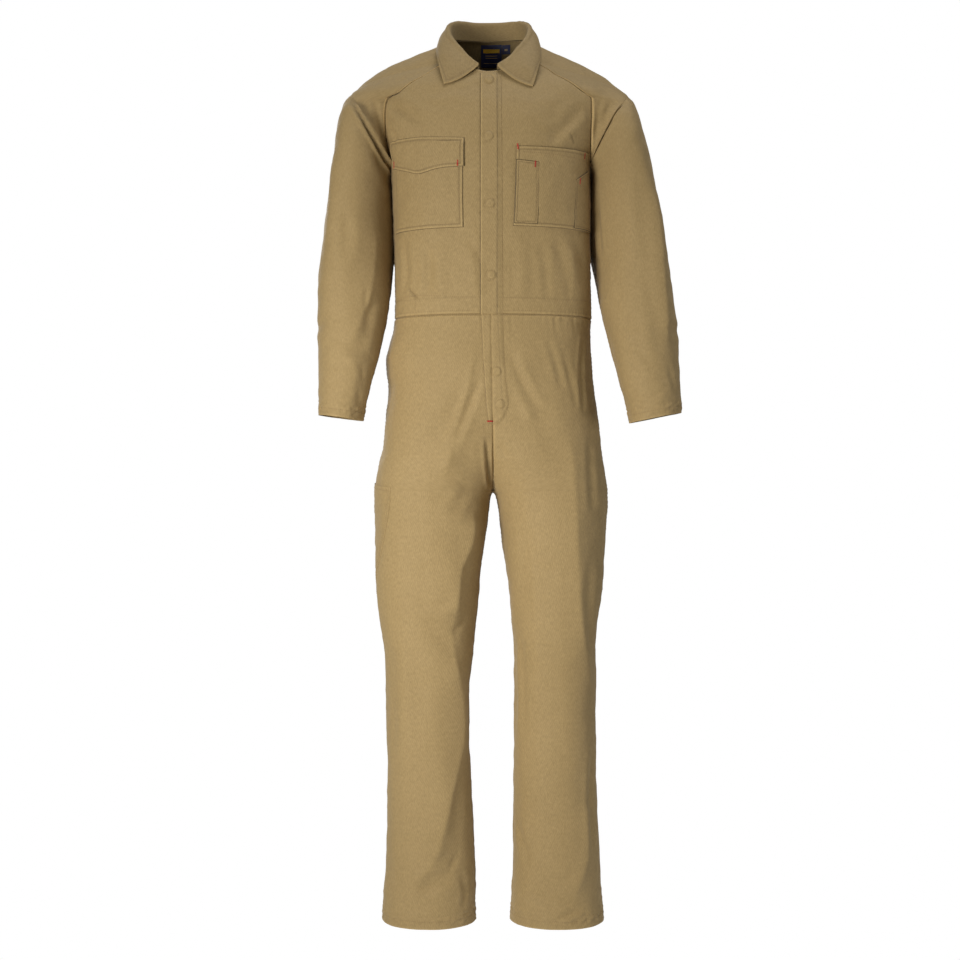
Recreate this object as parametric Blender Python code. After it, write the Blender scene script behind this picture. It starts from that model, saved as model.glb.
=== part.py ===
"""Boiler suit, worn form with no wearer inside. Metres, +Z up, the front faces -Y.
Tables are in millimetres. Right and left are the wearer's: right is -X."""
import math

import bpy
import numpy as np
from mathutils import Vector
from mathutils.bvhtree import BVHTree

mm = 0.001
clothWall = 1.6
hemExtra = 0.6
seamHalfGap = 0.2
patchGap = 0.6
patchWall = 1.4
collarWall = 2.0
crotchZ = -788.0
waistZ = -480.0
armpitZ = -205.0
neckHalfWidth = 70.0
neckShift = -7.0
neckFront = 75.0
neckBack = 65.0
frontSeamAngle = 58.0
backSeamAngle = 130.0
quarterColumns = 12
sideRows = 10
armRows = 9
neckColumns = 4


def table(names, rows):
    return {name: np.array([row[i] for row in rows], float) for i, name in enumerate(names.split())}


# outline of the body above the waist, one row for each height
bodyRows = table("z centre right left front back power spread", [
    (-480, -4, -176.0, 176.0, 112, 105, 2.30, 0),
    (-430, -4, -176.4, 176.2, 114, 106, 2.30, 0),
    (-380, -4, -176.4, 176.2, 117, 109, 2.28, 0),
    (-330, -4, -179.0, 175.0, 121, 114, 2.26, 0),
    (-290, -4, -180.0, 174.5, 125, 118, 2.25, 0),
    (-250, -4, -181.0, 174.0, 128, 121, 2.25, 0),
    (-205, -4, -184.5, 176.0, 129, 123, 2.25, 0),
    (-175, -4, -193.0, 185.0, 127, 123, 2.25, 0),
    (-145, -4, -201.0, 194.0, 123, 121, 2.25, 0),
    (-110, -4, -208.0, 201.0, 113, 117, 2.25, 0),
    (-92, -5, -209.0, 203.0, 104, 113, 2.25, 0),
    (-75, -5, -206.0, 200.0, 95, 109, 2.25, 3),
    (-61, -5, -193.0, 187.0, 87, 105, 2.22, 8),
    (-47, -6, -173.0, 166.0, 77, 100, 2.20, 14),
    (-30, -6, -141.0, 132.0, 66, 93, 2.15, 20),
    (-11, -7, -112.0, 100.0, 52, 84, 2.10, 24),
    (18, -7, -82.0, 68.0, 40, 72, 2.05, 27),
    (40, -7, -76.0, 62.0, 34, 65, 2.00, 27),
])

# seam between body and sleeve: x is the distance from the middle on each side
frontSeamRows = table("step zRight xRight zLeft xLeft", [
    (0, -205, -184.5, -205, 176.0),
    (1, -183, -186.8, -184, 172.5),
    (2, -152, -191.0, -155, 172.5),
    (3, -120, -191.5, -123, 173.5),
    (4, -92, -187.0, -93, 172.5),
    (5, -84, -168.5, -81, 156.5),
    (6, -69, -148.0, -68, 138.0),
    (7, -53, -125.0, -53, 115.5),
    (8, -34, -97.0, -33, 86.0),
    (9, -11, -66.4, -11, 52.4),
])
backSeamRows = table("step zRight xRight zLeft xLeft", [
    (0, -205, -184.5, -205, 176.0),
    (1, -178, -184.0, -178, 175.0),
    (2, -148, -180.0, -148, 171.0),
    (3, -118, -174.0, -118, 165.0),
    (4, -90, -165.0, -90, 156.0),
    (5, -64, -150.0, -64, 141.0),
    (6, -39, -130.0, -39, 121.0),
    (7, -14, -108.0, -14, 98.0),
    (8, 12, -84.0, 12, 72.0),
    (9, 37, -60.6, 37, 46.6),
])

# legs: distances from the middle line; share is 0 where both legs make one ring and 1 below the crotch
legRows = table("z centre outRight outLeft inRight inLeft share front back mid power", [
    (-480, -4.0, 172.0, 180.0, 0, 0, 0.00, 112, 105, 0, 2.30),
    (-500, -4.0, 175.0, 179.0, 0, 0, 0.00, 113, 109, 0, 2.30),
    (-525, -3.5, 182.5, 178.5, 0, 0, 0.01, 114, 115, 0, 2.30),
    (-555, -3.0, 190.0, 179.5, 0, 0, 0.03, 115, 121, 1, 2.28),
    (-580, -2.5, 188.5, 181.0, 0, 0, 0.06, 115, 126, 2, 2.26),
    (-608, -2.0, 186.0, 184.0, 0, 0, 0.12, 115, 130, 3, 2.25),
    (-640, -1.5, 189.5, 187.5, 0, 0, 0.22, 114, 132, 4, 2.25),
    (-668, -1.0, 192.5, 190.0, 0, 0, 0.35, 113, 132, 5, 2.25),
    (-713, -0.5, 197.5, 195.5, 0, 0, 0.58, 112, 128, 7, 2.25),
    (-743, 0.0, 205.0, 200.0, 0, 0, 0.76, 112, 124, 8, 2.25),
    (-768, 0.0, 210.0, 204.0, 0, 0, 0.91, 112, 120, 9, 2.25),
    (-783, 0.0, 212.4, 206.0, 0, 0, 0.98, 113, 118, 10, 2.25),
    (-788, 0.0, 212.6, 206.8, 0.0, 0.0, 1.00, 113, 117, 10, 2.25),
    (-793, 0.0, 212.6, 207.0, 4.0, 5.0, 1.00, 113, 116, 10, 2.25),
    (-806, 0.0, 212.0, 207.0, 7.0, 9.0, 1.00, 112, 114, 10, 2.25),
    (-832, 0.0, 210.6, 205.0, 9.5, 12.5, 1.00, 111, 111, 9, 2.25),
    (-882, 0.0, 210.4, 201.6, 16.2, 18.0, 1.00, 107, 106, 7, 2.23),
    (-932, 0.0, 208.8, 199.8, 23.4, 25.2, 1.00, 103, 102, 4, 2.22),
    (-983, 0.0, 207.0, 194.4, 27.5, 32.4, 1.00, 99, 98, 2, 2.20),
    (-1033, 0.0, 201.6, 187.0, 32.4, 36.0, 1.00, 95, 94, 0, 2.20),
    (-1084, 0.0, 194.6, 183.6, 38.0, 39.0, 1.00, 91, 91, -1, 2.18),
    (-1159, 0.0, 191.2, 183.6, 44.3, 39.8, 1.00, 87, 88, -2, 2.15),
    (-1235, 0.0, 189.4, 185.2, 44.4, 39.6, 1.00, 85, 87, 0, 2.15),
    (-1310, 0.0, 189.0, 186.6, 39.6, 38.2, 1.00, 83, 86, 3, 2.12),
    (-1386, 0.0, 190.6, 188.4, 36.0, 37.8, 1.00, 81, 85, 4, 2.12),
    (-1462, 0.0, 193.0, 192.4, 34.2, 37.8, 1.00, 80, 84, 3, 2.10),
    (-1512, 0.0, 196.0, 195.0, 34.2, 35.0, 1.00, 79, 82, 2, 2.10),
    (-1561, 0.0, 198.0, 198.0, 33.0, 32.6, 1.00, 78, 80, 2, 2.10),
])
legLevels = [-480, -490, -512, -545, -580, -615, -650, -683, -712, -738, -758, -774, -788,
             -800, -818, -845, -880, -925, -985, -1045, -1110, -1180, -1260, -1340, -1420,
             -1490, -1537, -1561]

# sleeve rings from the shoulder crease to the hem: the inner and outer ends of each ring, and its depths
sleeveRightRows = table("xIn zIn xOut zOut mid front back lean", [
    (-194.0, -209, -254, -76, 0, 66, 70, 3),
    (-191.8, -218, -263, -88, -1, 80, 75, 14),
    (-187.8, -231, -271, -112, -2, 84, 79, 27),
    (-185.4, -250, -277, -145, -3, 86, 81, 35),
    (-183.6, -279, -283, -188, -4, 86, 82, 37),
    (-182.6, -311, -290, -240, -6, 85, 81, 37),
    (-182.2, -346, -297, -300, -9, 83, 78, 36),
    (-182.6, -380, -304, -360, -13, 80, 75, 32),
    (-183.5, -415, -309, -408, -18, 77, 72, 24),
    (-187.0, -452, -311.5, -452, -24, 73, 68, 15),
    (-193.0, -492, -311.5, -496, -31, 69, 64, 8),
    (-201.5, -532, -311.2, -538, -39, 66, 60, 4),
    (-210.0, -570, -310.5, -576, -47, 62, 57, 2),
    (-219.0, -605, -309.5, -608, -55, 59, 54, 0),
    (-226.5, -639, -307.5, -632, -61, 56, 52, 0),
    (-230.5, -664, -306.0, -654, -65, 54, 50, 0),
])
sleeveLeftRows = table("xIn zIn xOut zOut mid front back lean", [
    (184.2, -208, 242, -80, 0, 66, 70, 3),
    (183.0, -217, 250, -92, -1, 80, 75, 13),
    (180.2, -230, 258, -116, -2, 84, 79, 28),
    (178.4, -249, 266, -150, -3, 86, 81, 38),
    (177.4, -278, 276, -192, -4, 86, 82, 41),
    (177.4, -309, 287, -244, -6, 85, 81, 41),
    (178.6, -344, 297, -302, -9, 83, 78, 40),
    (181.5, -378, 307, -360, -13, 80, 75, 34),
    (187.5, -414, 315.5, -408, -18, 77, 72, 24),
    (193.0, -450, 321.5, -452, -24, 74, 69, 15),
    (199.5, -488, 326.5, -494, -31, 70, 65, 8),
    (207.5, -526, 329.0, -534, -39, 67, 61, 4),
    (216.0, -563, 330.0, -571, -47, 63, 58, 2),
    (225.0, -600, 330.5, -605, -55, 60, 55, 0),
    (235.5, -636, 331.5, -632, -61, 57, 53, 0),
    (242.0, -668, 331.0, -650, -65, 55, 51, 0),
])
capRings = 5
capAngles = [0, 45, 80, 105, 125, 137, 147, 156, 164, 171, 176, 180, 184, 189, 196, 204, 213, 223, 235, 255, 280, 315]
capPull = [0, 0, 0, 0.1, 0.25, 0.4, 0.6, 0.8, 0.95, 1, 1, 1, 1, 1, 0.95, 0.85, 0.7, 0.5, 0.3, 0.15, 0, 0]

# collar: angle round the neck from the front, height of the stand, then the edge of the fall
collarRightRows = table("angle stand x y z", [
    (15, 6, -86.5, -93, -74.5),
    (30, 13, -90.5, -86, -60.0),
    (45, 21, -94.0, -75, -44.0),
    (70, 25, -99.0, -52, -19.0),
    (90, 28, -101.5, -20, 2.0),
    (100, 29, -98.0, 1, 14.5),
    (110, 30, -91.5, 23, 28.0),
    (120, 31, -88.5, 38, 30.5),
    (130, 32, -82.0, 52, 26.5),
    (155, 32, -51.0, 75, 17.0),
    (180, 32, -7.0, 83, 16.0),
])
collarLeftRows = table("angle stand x y z", [
    (11.5, 6, 69.0, -93, -79.5),
    (30, 13, 74.5, -86, -62.0),
    (45, 21, 78.0, -75, -47.0),
    (70, 25, 84.0, -52, -22.0),
    (90, 28, 86.0, -20, 1.0),
    (100, 29, 82.5, 1, 14.0),
    (110, 30, 77.0, 23, 28.0),
    (120, 31, 74.5, 38, 30.5),
    (130, 32, 68.0, 52, 26.5),
    (155, 32, 37.0, 75, 17.0),
    (180, 32, -7.0, 83, 16.0),
])
collarColumns = 30
fallRows = 4

# large folds: both ends, how wide, how high (minus is a trough)
foldRows = table("x1 y1 z1 x2 y2 z2 wide high", [
    (-200, -75, -98, -125, -115, -165, 15, -5.0),
    (-178, -85, -95, -112, -118, -150, 13, 3.0),
    (140, -95, -92, 92, -120, -160, 15, -4.0),
    (150, -98, -330, 163, -60, -400, 14, -4.5),
    (128, -106, -320, 140, -95, -430, 15, 3.5),
    (118, -108, -350, 126, -106, -455, 12, -2.5),
    (-152, -90, -380, -148, -90, -462, 12, -2.5),
    (-18, -110, -530, -80, -115, -690, 18, -4.0),
    (22, -108, -530, 52, -110, -665, 18, -3.0),
    (-70, -110, -640, -150, -85, -800, 22, -3.5),
    (70, -112, -640, 140, -90, -790, 22, -3.0),
    (-60, -95, -860, -42, -70, -1010, 18, -4.0),
    (55, -95, -870, 48, -75, -1000, 18, -3.0),
    (-60, -80, -1085, -110, -90, -1030, 16, -4.0),
    (-55, -75, -1250, -62, -80, -1440, 20, -5.0),
    (60, -78, -1230, 58, -80, -1420, 18, -2.5),
    (-60, -70, -1440, -130, -85, -1500, 16, -4.0),
    (80, -80, -1490, 150, -80, -1520, 16, -4.0),
    (-100, 120, -180, -120, 120, -420, 22, -5.0),
    (95, 120, -170, 112, 120, -420, 22, -5.0),
    (-90, 130, -640, -130, 118, -820, 24, -5.0),
    (90, 130, -640, 130, 118, -820, 24, -5.0),
    (-70, 95, -1070, -160, 95, -1110, 16, -4.0),
    (70, 95, -1080, 160, 95, -1110, 16, -4.0),
    (-208, -62, -205, -290, -40, -260, 13, -3.5),
    (-196, -92, -470, -300, -75, -500, 14, -4.0),
    (-210, -100, -535, -300, -95, -520, 12, -3.0),
    (262, -85, -290, 268, -95, -480, 16, -4.0),
    (205, -95, -480, 318, -80, -520, 14, -3.5),
    (-300, 45, -430, -205, 55, -480, 14, -4.0),
    (310, 45, -440, 215, 55, -490, 14, -4.0),
])

# gathers below the waist seam: the column each one is on, counted from the front or back middle
gatherColumns = {"front_right": [1, 3, 9], "front_left": [1, 4, 6, 8, 10],
                 "back_right": [1, 3, 5, 7, 9], "back_left": [1, 3, 5, 7, 9]}
gatherDepth = {-480: 0.0, -490: 1.5, -512: 0.6}


def along(rows, key, name, at):
    """Smooth curve through the rows of a table, with no overshoot."""
    xs, ys = rows[key], rows[name]
    if xs[0] > xs[-1]:
        xs, ys = xs[::-1], ys[::-1]
    step = np.diff(xs)
    slope = np.diff(ys) / step
    tangent = np.zeros(len(xs))
    tangent[0], tangent[-1] = slope[0], slope[-1]
    for i in range(1, len(xs) - 1):
        if slope[i - 1] * slope[i] > 0:
            tangent[i] = 2 * slope[i - 1] * slope[i] / (slope[i - 1] + slope[i])
    at = np.clip(at, xs[0], xs[-1])
    i = np.clip(np.searchsorted(xs, at, side="right") - 1, 0, len(step) - 1)
    t = (at - xs[i]) / step[i]
    first = (2 * t - 3) * t * t * (ys[i] - ys[i + 1]) + ys[i]
    return first + step[i] * t * (1 - t) * ((1 - t) * tangent[i] - t * tangent[i + 1])


def split(values, fine):
    out = []
    for a, b in zip(values[:-1], values[1:]):
        out += [a + (b - a) * i / fine for i in range(fine)]
    return out + [values[-1]]


def ringPoint(wide, front, back, power, angle):
    s, c = math.sin(angle), math.cos(angle)
    k = (abs(s) ** power + abs(c) ** power) ** (-1 / power)
    return wide * s * k, -(front if c > 0 else back) * c * k


def ringAngle(share, power):
    share = min(max(share, 0.0), 1.0)
    return math.atan2(share, (1 - share ** power) ** (1 / power))


def bodyPoint(side, angle, z):
    """A point of the body: side is -1 on the right and 1 on the left, angle 0 is the front."""
    centre = along(bodyRows, "z", "centre", z)
    edge = along(bodyRows, "z", "right" if side < 0 else "left", z)
    front, back = along(bodyRows, "z", "front", z), along(bodyRows, "z", "back", z)
    wide = abs(edge - centre) + (along(bodyRows, "z", "spread", z) if math.cos(angle) < 0 else 0)
    x, y = ringPoint(wide, front, back, along(bodyRows, "z", "power", z), angle)
    return np.array([centre + side * x, y, z])


def bodyAngle(side, x, z, behind):
    centre = along(bodyRows, "z", "centre", z)
    edge = along(bodyRows, "z", "right" if side < 0 else "left", z)
    wide = abs(edge - centre) + (along(bodyRows, "z", "spread", z) if behind else 0)
    return ringAngle(abs(x - centre) / wide, along(bodyRows, "z", "power", z))


def neckPoint(angle):
    """A point of the neck seam: angle in degrees from the front, plus is the left."""
    a = math.radians(angle)
    depth = neckFront if math.cos(a) > 0 else neckBack
    z = 7.25 - 43.5 * math.cos(a) - 10.75 * math.cos(2 * a)
    return np.array([neckShift + neckHalfWidth * math.sin(a), -depth * math.cos(a), z])


def bodyPanel(side, face, fine):
    """Grid of one quarter of the body: rows from the waist up, columns from the middle out."""
    front = face == "front"
    seam = frontSeamRows if front else backSeamRows
    xName, zName = ("xRight", "zRight") if side < 0 else ("xLeft", "zLeft")
    rows = sideRows + armRows
    vs = split(list(range(rows + 1)), fine)
    us = split([i / quarterColumns for i in range(quarterColumns + 1)], fine)
    middleTop = neckPoint(0 if front else 180)[2]
    seamAngle = frontSeamAngle if front else backSeamAngle

    def flip(angle):
        return angle if front else math.pi - angle

    def outer(v):
        if v <= sideRows:
            return math.pi / 2, waistZ + (armpitZ - waistZ) * v / sideRows
        x = along(seam, "step", xName, v - sideRows)
        z = along(seam, "step", zName, v - sideRows)
        return bodyAngle(side, x, z, not front), z

    def neckEnd(u):
        turn = seamAngle * u if front else 180 + (seamAngle - 180) * u
        return neckPoint(side * turn)

    topAngle, topZ = outer(rows)
    grid = []
    for v in vs:
        w = v / rows
        sideAngle, sideZ = outer(v)
        middleZ = waistZ + (middleTop - waistZ) * w
        line = []
        for u in us:
            neck = neckEnd(u)
            neckAngle = topAngle * u
            low = math.pi / 2 * u
            angle = (1 - w) * low + w * neckAngle + u * sideAngle
            angle -= (1 - w) * u * math.pi / 2 + w * u * topAngle
            z = (1 - w) * waistZ + w * neck[2] + (1 - u) * middleZ + u * sideZ
            z -= (1 - w) * waistZ + w * (1 - u) * middleTop + w * u * topZ
            point = bodyPoint(side, flip(angle), z)
            base = bodyPoint(side, flip(neckAngle), neck[2])
            pull = max(0.0, (w - 0.72) / 0.28) ** 2
            line.append(point + (neck - base) * pull)
        grid.append(line)
    return np.array(grid)


def legPanel(side, face, fine):
    """Grid of one leg panel: rows from the waist down, columns from the middle seam or inseam out."""
    outName, inName = ("outRight", "inRight") if side < 0 else ("outLeft", "inLeft")
    grid = []
    for z in split(legLevels, fine):
        row = {name: float(along(legRows, "z", name, z)) for name in legRows}
        out, power = row[outName], row["power"]
        if z > crotchZ:
            wide = out / (1 + row["share"])
            centre = wide * row["share"]
            start = -ringAngle(row["share"], power)
        else:
            wide = (out - row[inName]) / 2
            centre = (out + row[inName]) / 2
            start = -math.pi / 2
        bend = 1 + 1.6 * min(1, max(0, (row["share"] - 0.5) / 0.5)) ** 2
        line = []
        for i in range(quarterColumns * fine + 1):
            u = i / (quarterColumns * fine)
            angle = -math.pi / 2 + math.pi * u + (start + math.pi / 2) * (1 - u) ** bend
            if face == "back":
                angle = math.pi - angle
            x, y = ringPoint(wide, row["front"], row["back"], power, angle)
            line.append([row["centre"] + side * (centre + x), row["mid"] + y, z])
        grid.append(line)
    return np.array(grid)


def sleevePanel(side, seamLoop, fine):
    """Grid of one sleeve: rows from the body seam to the hem, columns once round from the armpit."""
    rows = sleeveRightRows if side < 0 else sleeveLeftRows
    count = len(seamLoop)
    names = list(rows)
    rows = dict(rows, step=np.arange(len(rows["xIn"]), dtype=float))
    start = split(capAngles + [360], fine)[:-1]
    pull = split(capPull + [0], fine)[:-1]
    rings = []
    for k in split(list(range(len(rows["xIn"]))), fine):
        r = {name: float(along(rows, "step", name, k)) for name in names}
        middle = np.array([(r["xIn"] + r["xOut"]) / 2, 0, (r["zIn"] + r["zOut"]) / 2])
        reach = np.array([(r["xOut"] - r["xIn"]) / 2, 0, (r["zOut"] - r["zIn"]) / 2])
        relax = min(1.0, k / 6)
        ring = []
        for j in range(count):
            turn = math.radians(start[j] * (1 - relax) + 360 * j / count * relax)
            s = math.sin(turn)
            y = r["mid"] - (r["front"] if s > 0 else r["back"]) * s + r["lean"] * math.cos(turn)
            ring.append(middle - reach * math.cos(turn) + [0, y, 0])
        rings.append(ring)
    rings = np.array(rings)
    first = np.array(seamLoop)
    chord = np.linalg.norm(rings[0] - first, axis=1)[:, None]
    push = np.array([side, 0, -0.42])
    lean = np.array(pull)[:, None]
    leave = (rings[0] - first) * (1 - lean) + push * chord * lean
    onward = rings[min(2 * fine, len(rings) - 1)] - rings[0]
    onward = onward / np.linalg.norm(onward, axis=1)[:, None]
    arrive = onward * chord * 0.85
    cap = []
    for i in range(capRings * fine):
        t = i / (capRings * fine)
        cap.append((2 * t ** 3 - 3 * t ** 2 + 1) * first + (t ** 3 - 2 * t ** 2 + t) * leave
                   + (3 * t ** 2 - 2 * t ** 3) * rings[0] + (t ** 3 - t ** 2) * arrive)
    return np.concatenate([np.array(cap), rings])


def buildSkin(fine):
    """All main panels as grids of middle points, with the same points along shared seams."""
    skin = {}
    for side, word in ((-1, "right"), (1, "left")):
        front = bodyPanel(side, "front", fine)
        back = bodyPanel(side, "back", fine)
        low = sideRows * fine
        loop = list(front[low:, -1])
        span = backSeamAngle - frontSeamAngle
        for i in range(1, neckColumns * fine):
            loop.append(neckPoint(side * (frontSeamAngle + span * i / (neckColumns * fine))))
        loop += list(back[low:, -1][::-1][:-1])
        skin["front_" + word] = front
        skin["half_back_" + word] = back
        skin["sleeve_" + word] = sleevePanel(side, loop, fine)
        skin["leg_front_" + word] = legPanel(side, "front", fine)
        skin["leg_back_" + word] = legPanel(side, "back", fine)
    right, left = skin.pop("half_back_right"), skin.pop("half_back_left")
    skin["back"] = np.concatenate([right[:, ::-1], left[:, 1:]], axis=1)
    return skin


# whether a grid's own normal already points outwards
outward = {"front_right": -1, "front_left": 1, "back": -1, "sleeve_right": 1, "sleeve_left": -1,
           "leg_front_right": 1, "leg_front_left": -1, "leg_back_right": -1, "leg_back_left": 1}


def gridNormals(grid, around):
    """Area normal of each cell corner, summed at each point."""
    rows, cols = grid.shape[:2]
    total = np.zeros_like(grid)
    last = cols if around else cols - 1
    for j in range(last):
        k = (j + 1) % cols
        a, b, c, d = grid[:-1, j], grid[:-1, k], grid[1:, k], grid[1:, j]
        n = np.cross(c - a, d - b)
        total[:-1, j] += n
        total[:-1, k] += n
        total[1:, k] += n
        total[1:, j] += n
    return total


def sharedNormals(skin):
    sums = {}
    raw = {}
    for name, grid in skin.items():
        n = gridNormals(grid, name.startswith("sleeve")) * outward[name]
        raw[name] = n
        for p, v in zip(grid.reshape(-1, 3), n.reshape(-1, 3)):
            key = tuple(np.round(p, 3))
            sums[key] = sums.get(key, 0) + v
    normals = {}
    for name, grid in skin.items():
        flat = np.array([sums[tuple(np.round(p, 3))] for p in grid.reshape(-1, 3)])
        flat /= np.linalg.norm(flat, axis=1)[:, None] + 1e-12
        normals[name] = flat.reshape(grid.shape)
    return normals, raw


def foldHeight(points):
    """Height of all folds at each point."""
    flat = points.reshape(-1, 3)
    total = np.zeros(len(flat))
    for i in range(len(foldRows["wide"])):
        a = np.array([foldRows[n][i] for n in ("x1", "y1", "z1")])
        b = np.array([foldRows[n][i] for n in ("x2", "y2", "z2")])
        line = b - a
        t = np.clip((flat - a) @ line / (line @ line), 0, 1)
        gap = np.linalg.norm(flat - a - t[:, None] * line, axis=1)
        total += foldRows["high"][i] * np.exp(-(gap / foldRows["wide"][i]) ** 2) * (1 - 0.5 * (2 * t - 1) ** 4)
    return total.reshape(points.shape[:-1])


def foldedSkin(fine):
    skin = buildSkin(fine)
    normals, _ = sharedNormals(skin)
    out = {}
    for name, grid in skin.items():
        high = foldHeight(grid)
        if name.startswith("leg_"):
            columns = gatherColumns[name[4:]]
            for i, z in enumerate(legLevels[:3]):
                for c in columns:
                    if i * fine < len(grid):
                        high[i * fine, c * fine] -= gatherDepth[z]
                        high[i * fine, (c + 1) * fine] += gatherDepth[z] * 0.5
        out[name] = grid + normals[name] * high[..., None]
    return out


def addObject(name, verts, faces, material):
    mesh = bpy.data.meshes.new(name)
    mesh.from_pydata([tuple(float(c) * mm for c in v) for v in verts], [], faces)
    mesh.materials.append(material)
    mesh.update()
    part = bpy.data.objects.new(name, mesh)
    bpy.context.scene.collection.objects.link(part)
    return part


def material(name, colour, rough):
    made = bpy.data.materials.new(name)
    made.use_nodes = True
    shader = made.node_tree.nodes["Principled BSDF"]
    shader.inputs["Base Color"].default_value = (*colour, 1)
    shader.inputs["Roughness"].default_value = rough
    return made


def wallObject(name, grid, normals, wall, paint, around=False, sign=1, retract=seamHalfGap):
    """Closed wall on a grid of middle points. sign turns the faces so they point out."""
    rows, cols = grid.shape[:2]
    wall = np.broadcast_to(wall, (rows, cols))
    grid = grid.copy()
    moved = np.zeros_like(grid)
    if retract:
        for edge, inner in ((0, 1), (rows - 1, rows - 2)):
            line = grid[edge]
            tangent = np.roll(line, -1, 0) - np.roll(line, 1, 0)
            if not around:
                tangent[0], tangent[-1] = line[1] - line[0], line[-1] - line[-2]
            moved[edge] += inward(tangent, normals[edge], grid[inner] - line) * retract
        if not around:
            for edge, inner in ((0, 1), (cols - 1, cols - 2)):
                line = grid[:, edge]
                tangent = np.gradient(line, axis=0)
                moved[:, edge] += inward(tangent, normals[:, edge], grid[:, inner] - line) * retract
                for i in range(1, rows - 1):
                    before, after = line[i] - line[i - 1], line[i + 1] - line[i]
                    turn = before @ after / (np.linalg.norm(before) * np.linalg.norm(after))
                    if turn < 0.7:
                        into = grid[i, inner] - line[i]
                        moved[i, edge] = into / np.linalg.norm(into) * retract * 2
    grid += moved
    half = (wall / 2)[..., None]
    verts = np.concatenate([(grid + normals * half).reshape(-1, 3), (grid - normals * half).reshape(-1, 3)])
    shift = rows * cols
    faces = []

    def put(a, b, c):
        faces.append((a, b, c) if sign > 0 else (a, c, b))

    flat = grid.reshape(-1, 3)
    for i in range(rows - 1):
        for j in range(cols if around else cols - 1):
            k = (j + 1) % cols
            a, b, c, d = i * cols + j, i * cols + k, (i + 1) * cols + k, (i + 1) * cols + j
            if np.linalg.norm(flat[a] - flat[c]) <= np.linalg.norm(flat[b] - flat[d]) + 1e-6:
                tris = ((a, b, c), (a, c, d))
            else:
                tris = ((a, b, d), (b, c, d))
            for p, q, r in tris:
                put(p, q, r)
                put(p + shift, r + shift, q + shift)
    rim = []
    top = [j for j in range(cols)]
    low = [(rows - 1) * cols + j for j in range(cols)]
    if around:
        rim.append(top + [top[0]])
        rim.append((low + [low[0]])[::-1])
    else:
        left = [i * cols for i in range(rows)]
        right = [i * cols + cols - 1 for i in range(rows)]
        rim.append(top + right[1:] + low[::-1][1:] + left[::-1][1:])
    for loop in rim:
        for a, b in zip(loop[:-1], loop[1:]):
            put(a, a + shift, b)
            put(b, a + shift, b + shift)
    return addObject(name, verts, faces, paint)


def inward(tangent, normal, towards):
    across = np.cross(normal, tangent)
    across /= np.linalg.norm(across, axis=1)[:, None] + 1e-12
    turn = np.sign(np.sum(across * towards, axis=1))[:, None]
    return across * turn


def mitre(normals, raw):
    """Longer offset where panels meet at an angle, so the wall keeps its thickness."""
    size = np.linalg.norm(raw, axis=-1) + 1e-12
    match = np.sum(normals * raw, axis=-1) / size
    return 1 / np.clip(match, 0.62, 1)


class Surface:
    """Fine copy of the folded skin, to lay pieces on."""

    def __init__(self, fine):
        skin = foldedSkin(fine)
        normals, _ = sharedNormals(skin)
        verts, faces, norms = [], [], []
        for name, grid in skin.items():
            rows, cols = grid.shape[:2]
            start = len(verts)
            verts += [Vector(p) for p in grid.reshape(-1, 3)]
            norms += list(normals[name].reshape(-1, 3))
            wrap = name.startswith("sleeve")
            for i in range(rows - 1):
                for j in range(cols if wrap else cols - 1):
                    k = (j + 1) % cols
                    quad = [start + i * cols + j, start + i * cols + k,
                            start + (i + 1) * cols + k, start + (i + 1) * cols + j]
                    faces.append(quad)
        self.verts, self.faces, self.norms = verts, faces, norms
        self.tree = BVHTree.FromPolygons(verts, faces)

    def at(self, hit, index):
        quad = self.faces[index]
        weight = [1 / ((self.verts[i] - hit).length + 0.01) ** 2 for i in quad]
        n = sum(w * self.norms[i] for w, i in zip(weight, quad))
        return np.array(hit), n / np.linalg.norm(n)

    def front(self, x, z, y=-600):
        hit, _, index, _ = self.tree.ray_cast(Vector((x, y, z)), Vector((0, 1, 0)))
        return self.at(hit, index)

    def round(self, centre, angle, z):
        a = math.radians(angle)
        aim = Vector((math.sin(a), -math.cos(a), 0))
        hit, _, index, _ = self.tree.ray_cast(Vector((centre[0], centre[1], z)), aim)
        return self.at(hit, index)

    def near(self, point):
        hit, _, index, _ = self.tree.find_nearest(Vector(point))
        return self.at(hit, index)


def patch(name, surface, lines, lift, wall, paint, bumps=()):
    """Wall laid on the surface. lines is a grid of places, each (kind, across, z) on the body."""
    spots = [[place(surface, spot) for spot in line] for line in lines]
    grid = np.array([[p + n * lift for p, n in line] for line in spots])
    normals = np.array([[n for p, n in line] for line in spots])
    for x, z, high, reach in bumps:
        flat = np.hypot(grid[..., 0] - x, grid[..., 2] - z)
        grid += normals * (high * np.clip((reach - flat) / 3.0 + 1, 0, 1))[..., None]
    cell = np.cross(grid[0, 1] - grid[0, 0], grid[1, 0] - grid[0, 0])
    sign = 1 if np.dot(cell, normals[0, 0]) > 0 else -1
    wallObject(name, grid, normals, wall, paint, sign=sign, retract=0)


def place(surface, spot):
    kind, across, z = spot
    if kind == "front":
        return surface.front(across, z)
    centre = {"body": (-4, 0), "legRight": (-115, 5), "legLeft": (115, 5)}[kind]
    return surface.round(centre, across, z)


def quadLines(kind, corners, rows, cols):
    """Grid of places between four corners: low start, low end, high start, high end."""
    (a1, z1), (a2, z2), (a3, z3), (a4, z4) = corners
    out = []
    for i in range(rows + 1):
        v = i / rows
        line = []
        for j in range(cols + 1):
            u = j / cols
            a = (1 - v) * ((1 - u) * a1 + u * a2) + v * ((1 - u) * a3 + u * a4)
            z = (1 - v) * ((1 - u) * z1 + u * z2) + v * ((1 - u) * z3 + u * z4)
            line.append((kind, a, z))
        out.append(line)
    return out


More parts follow.
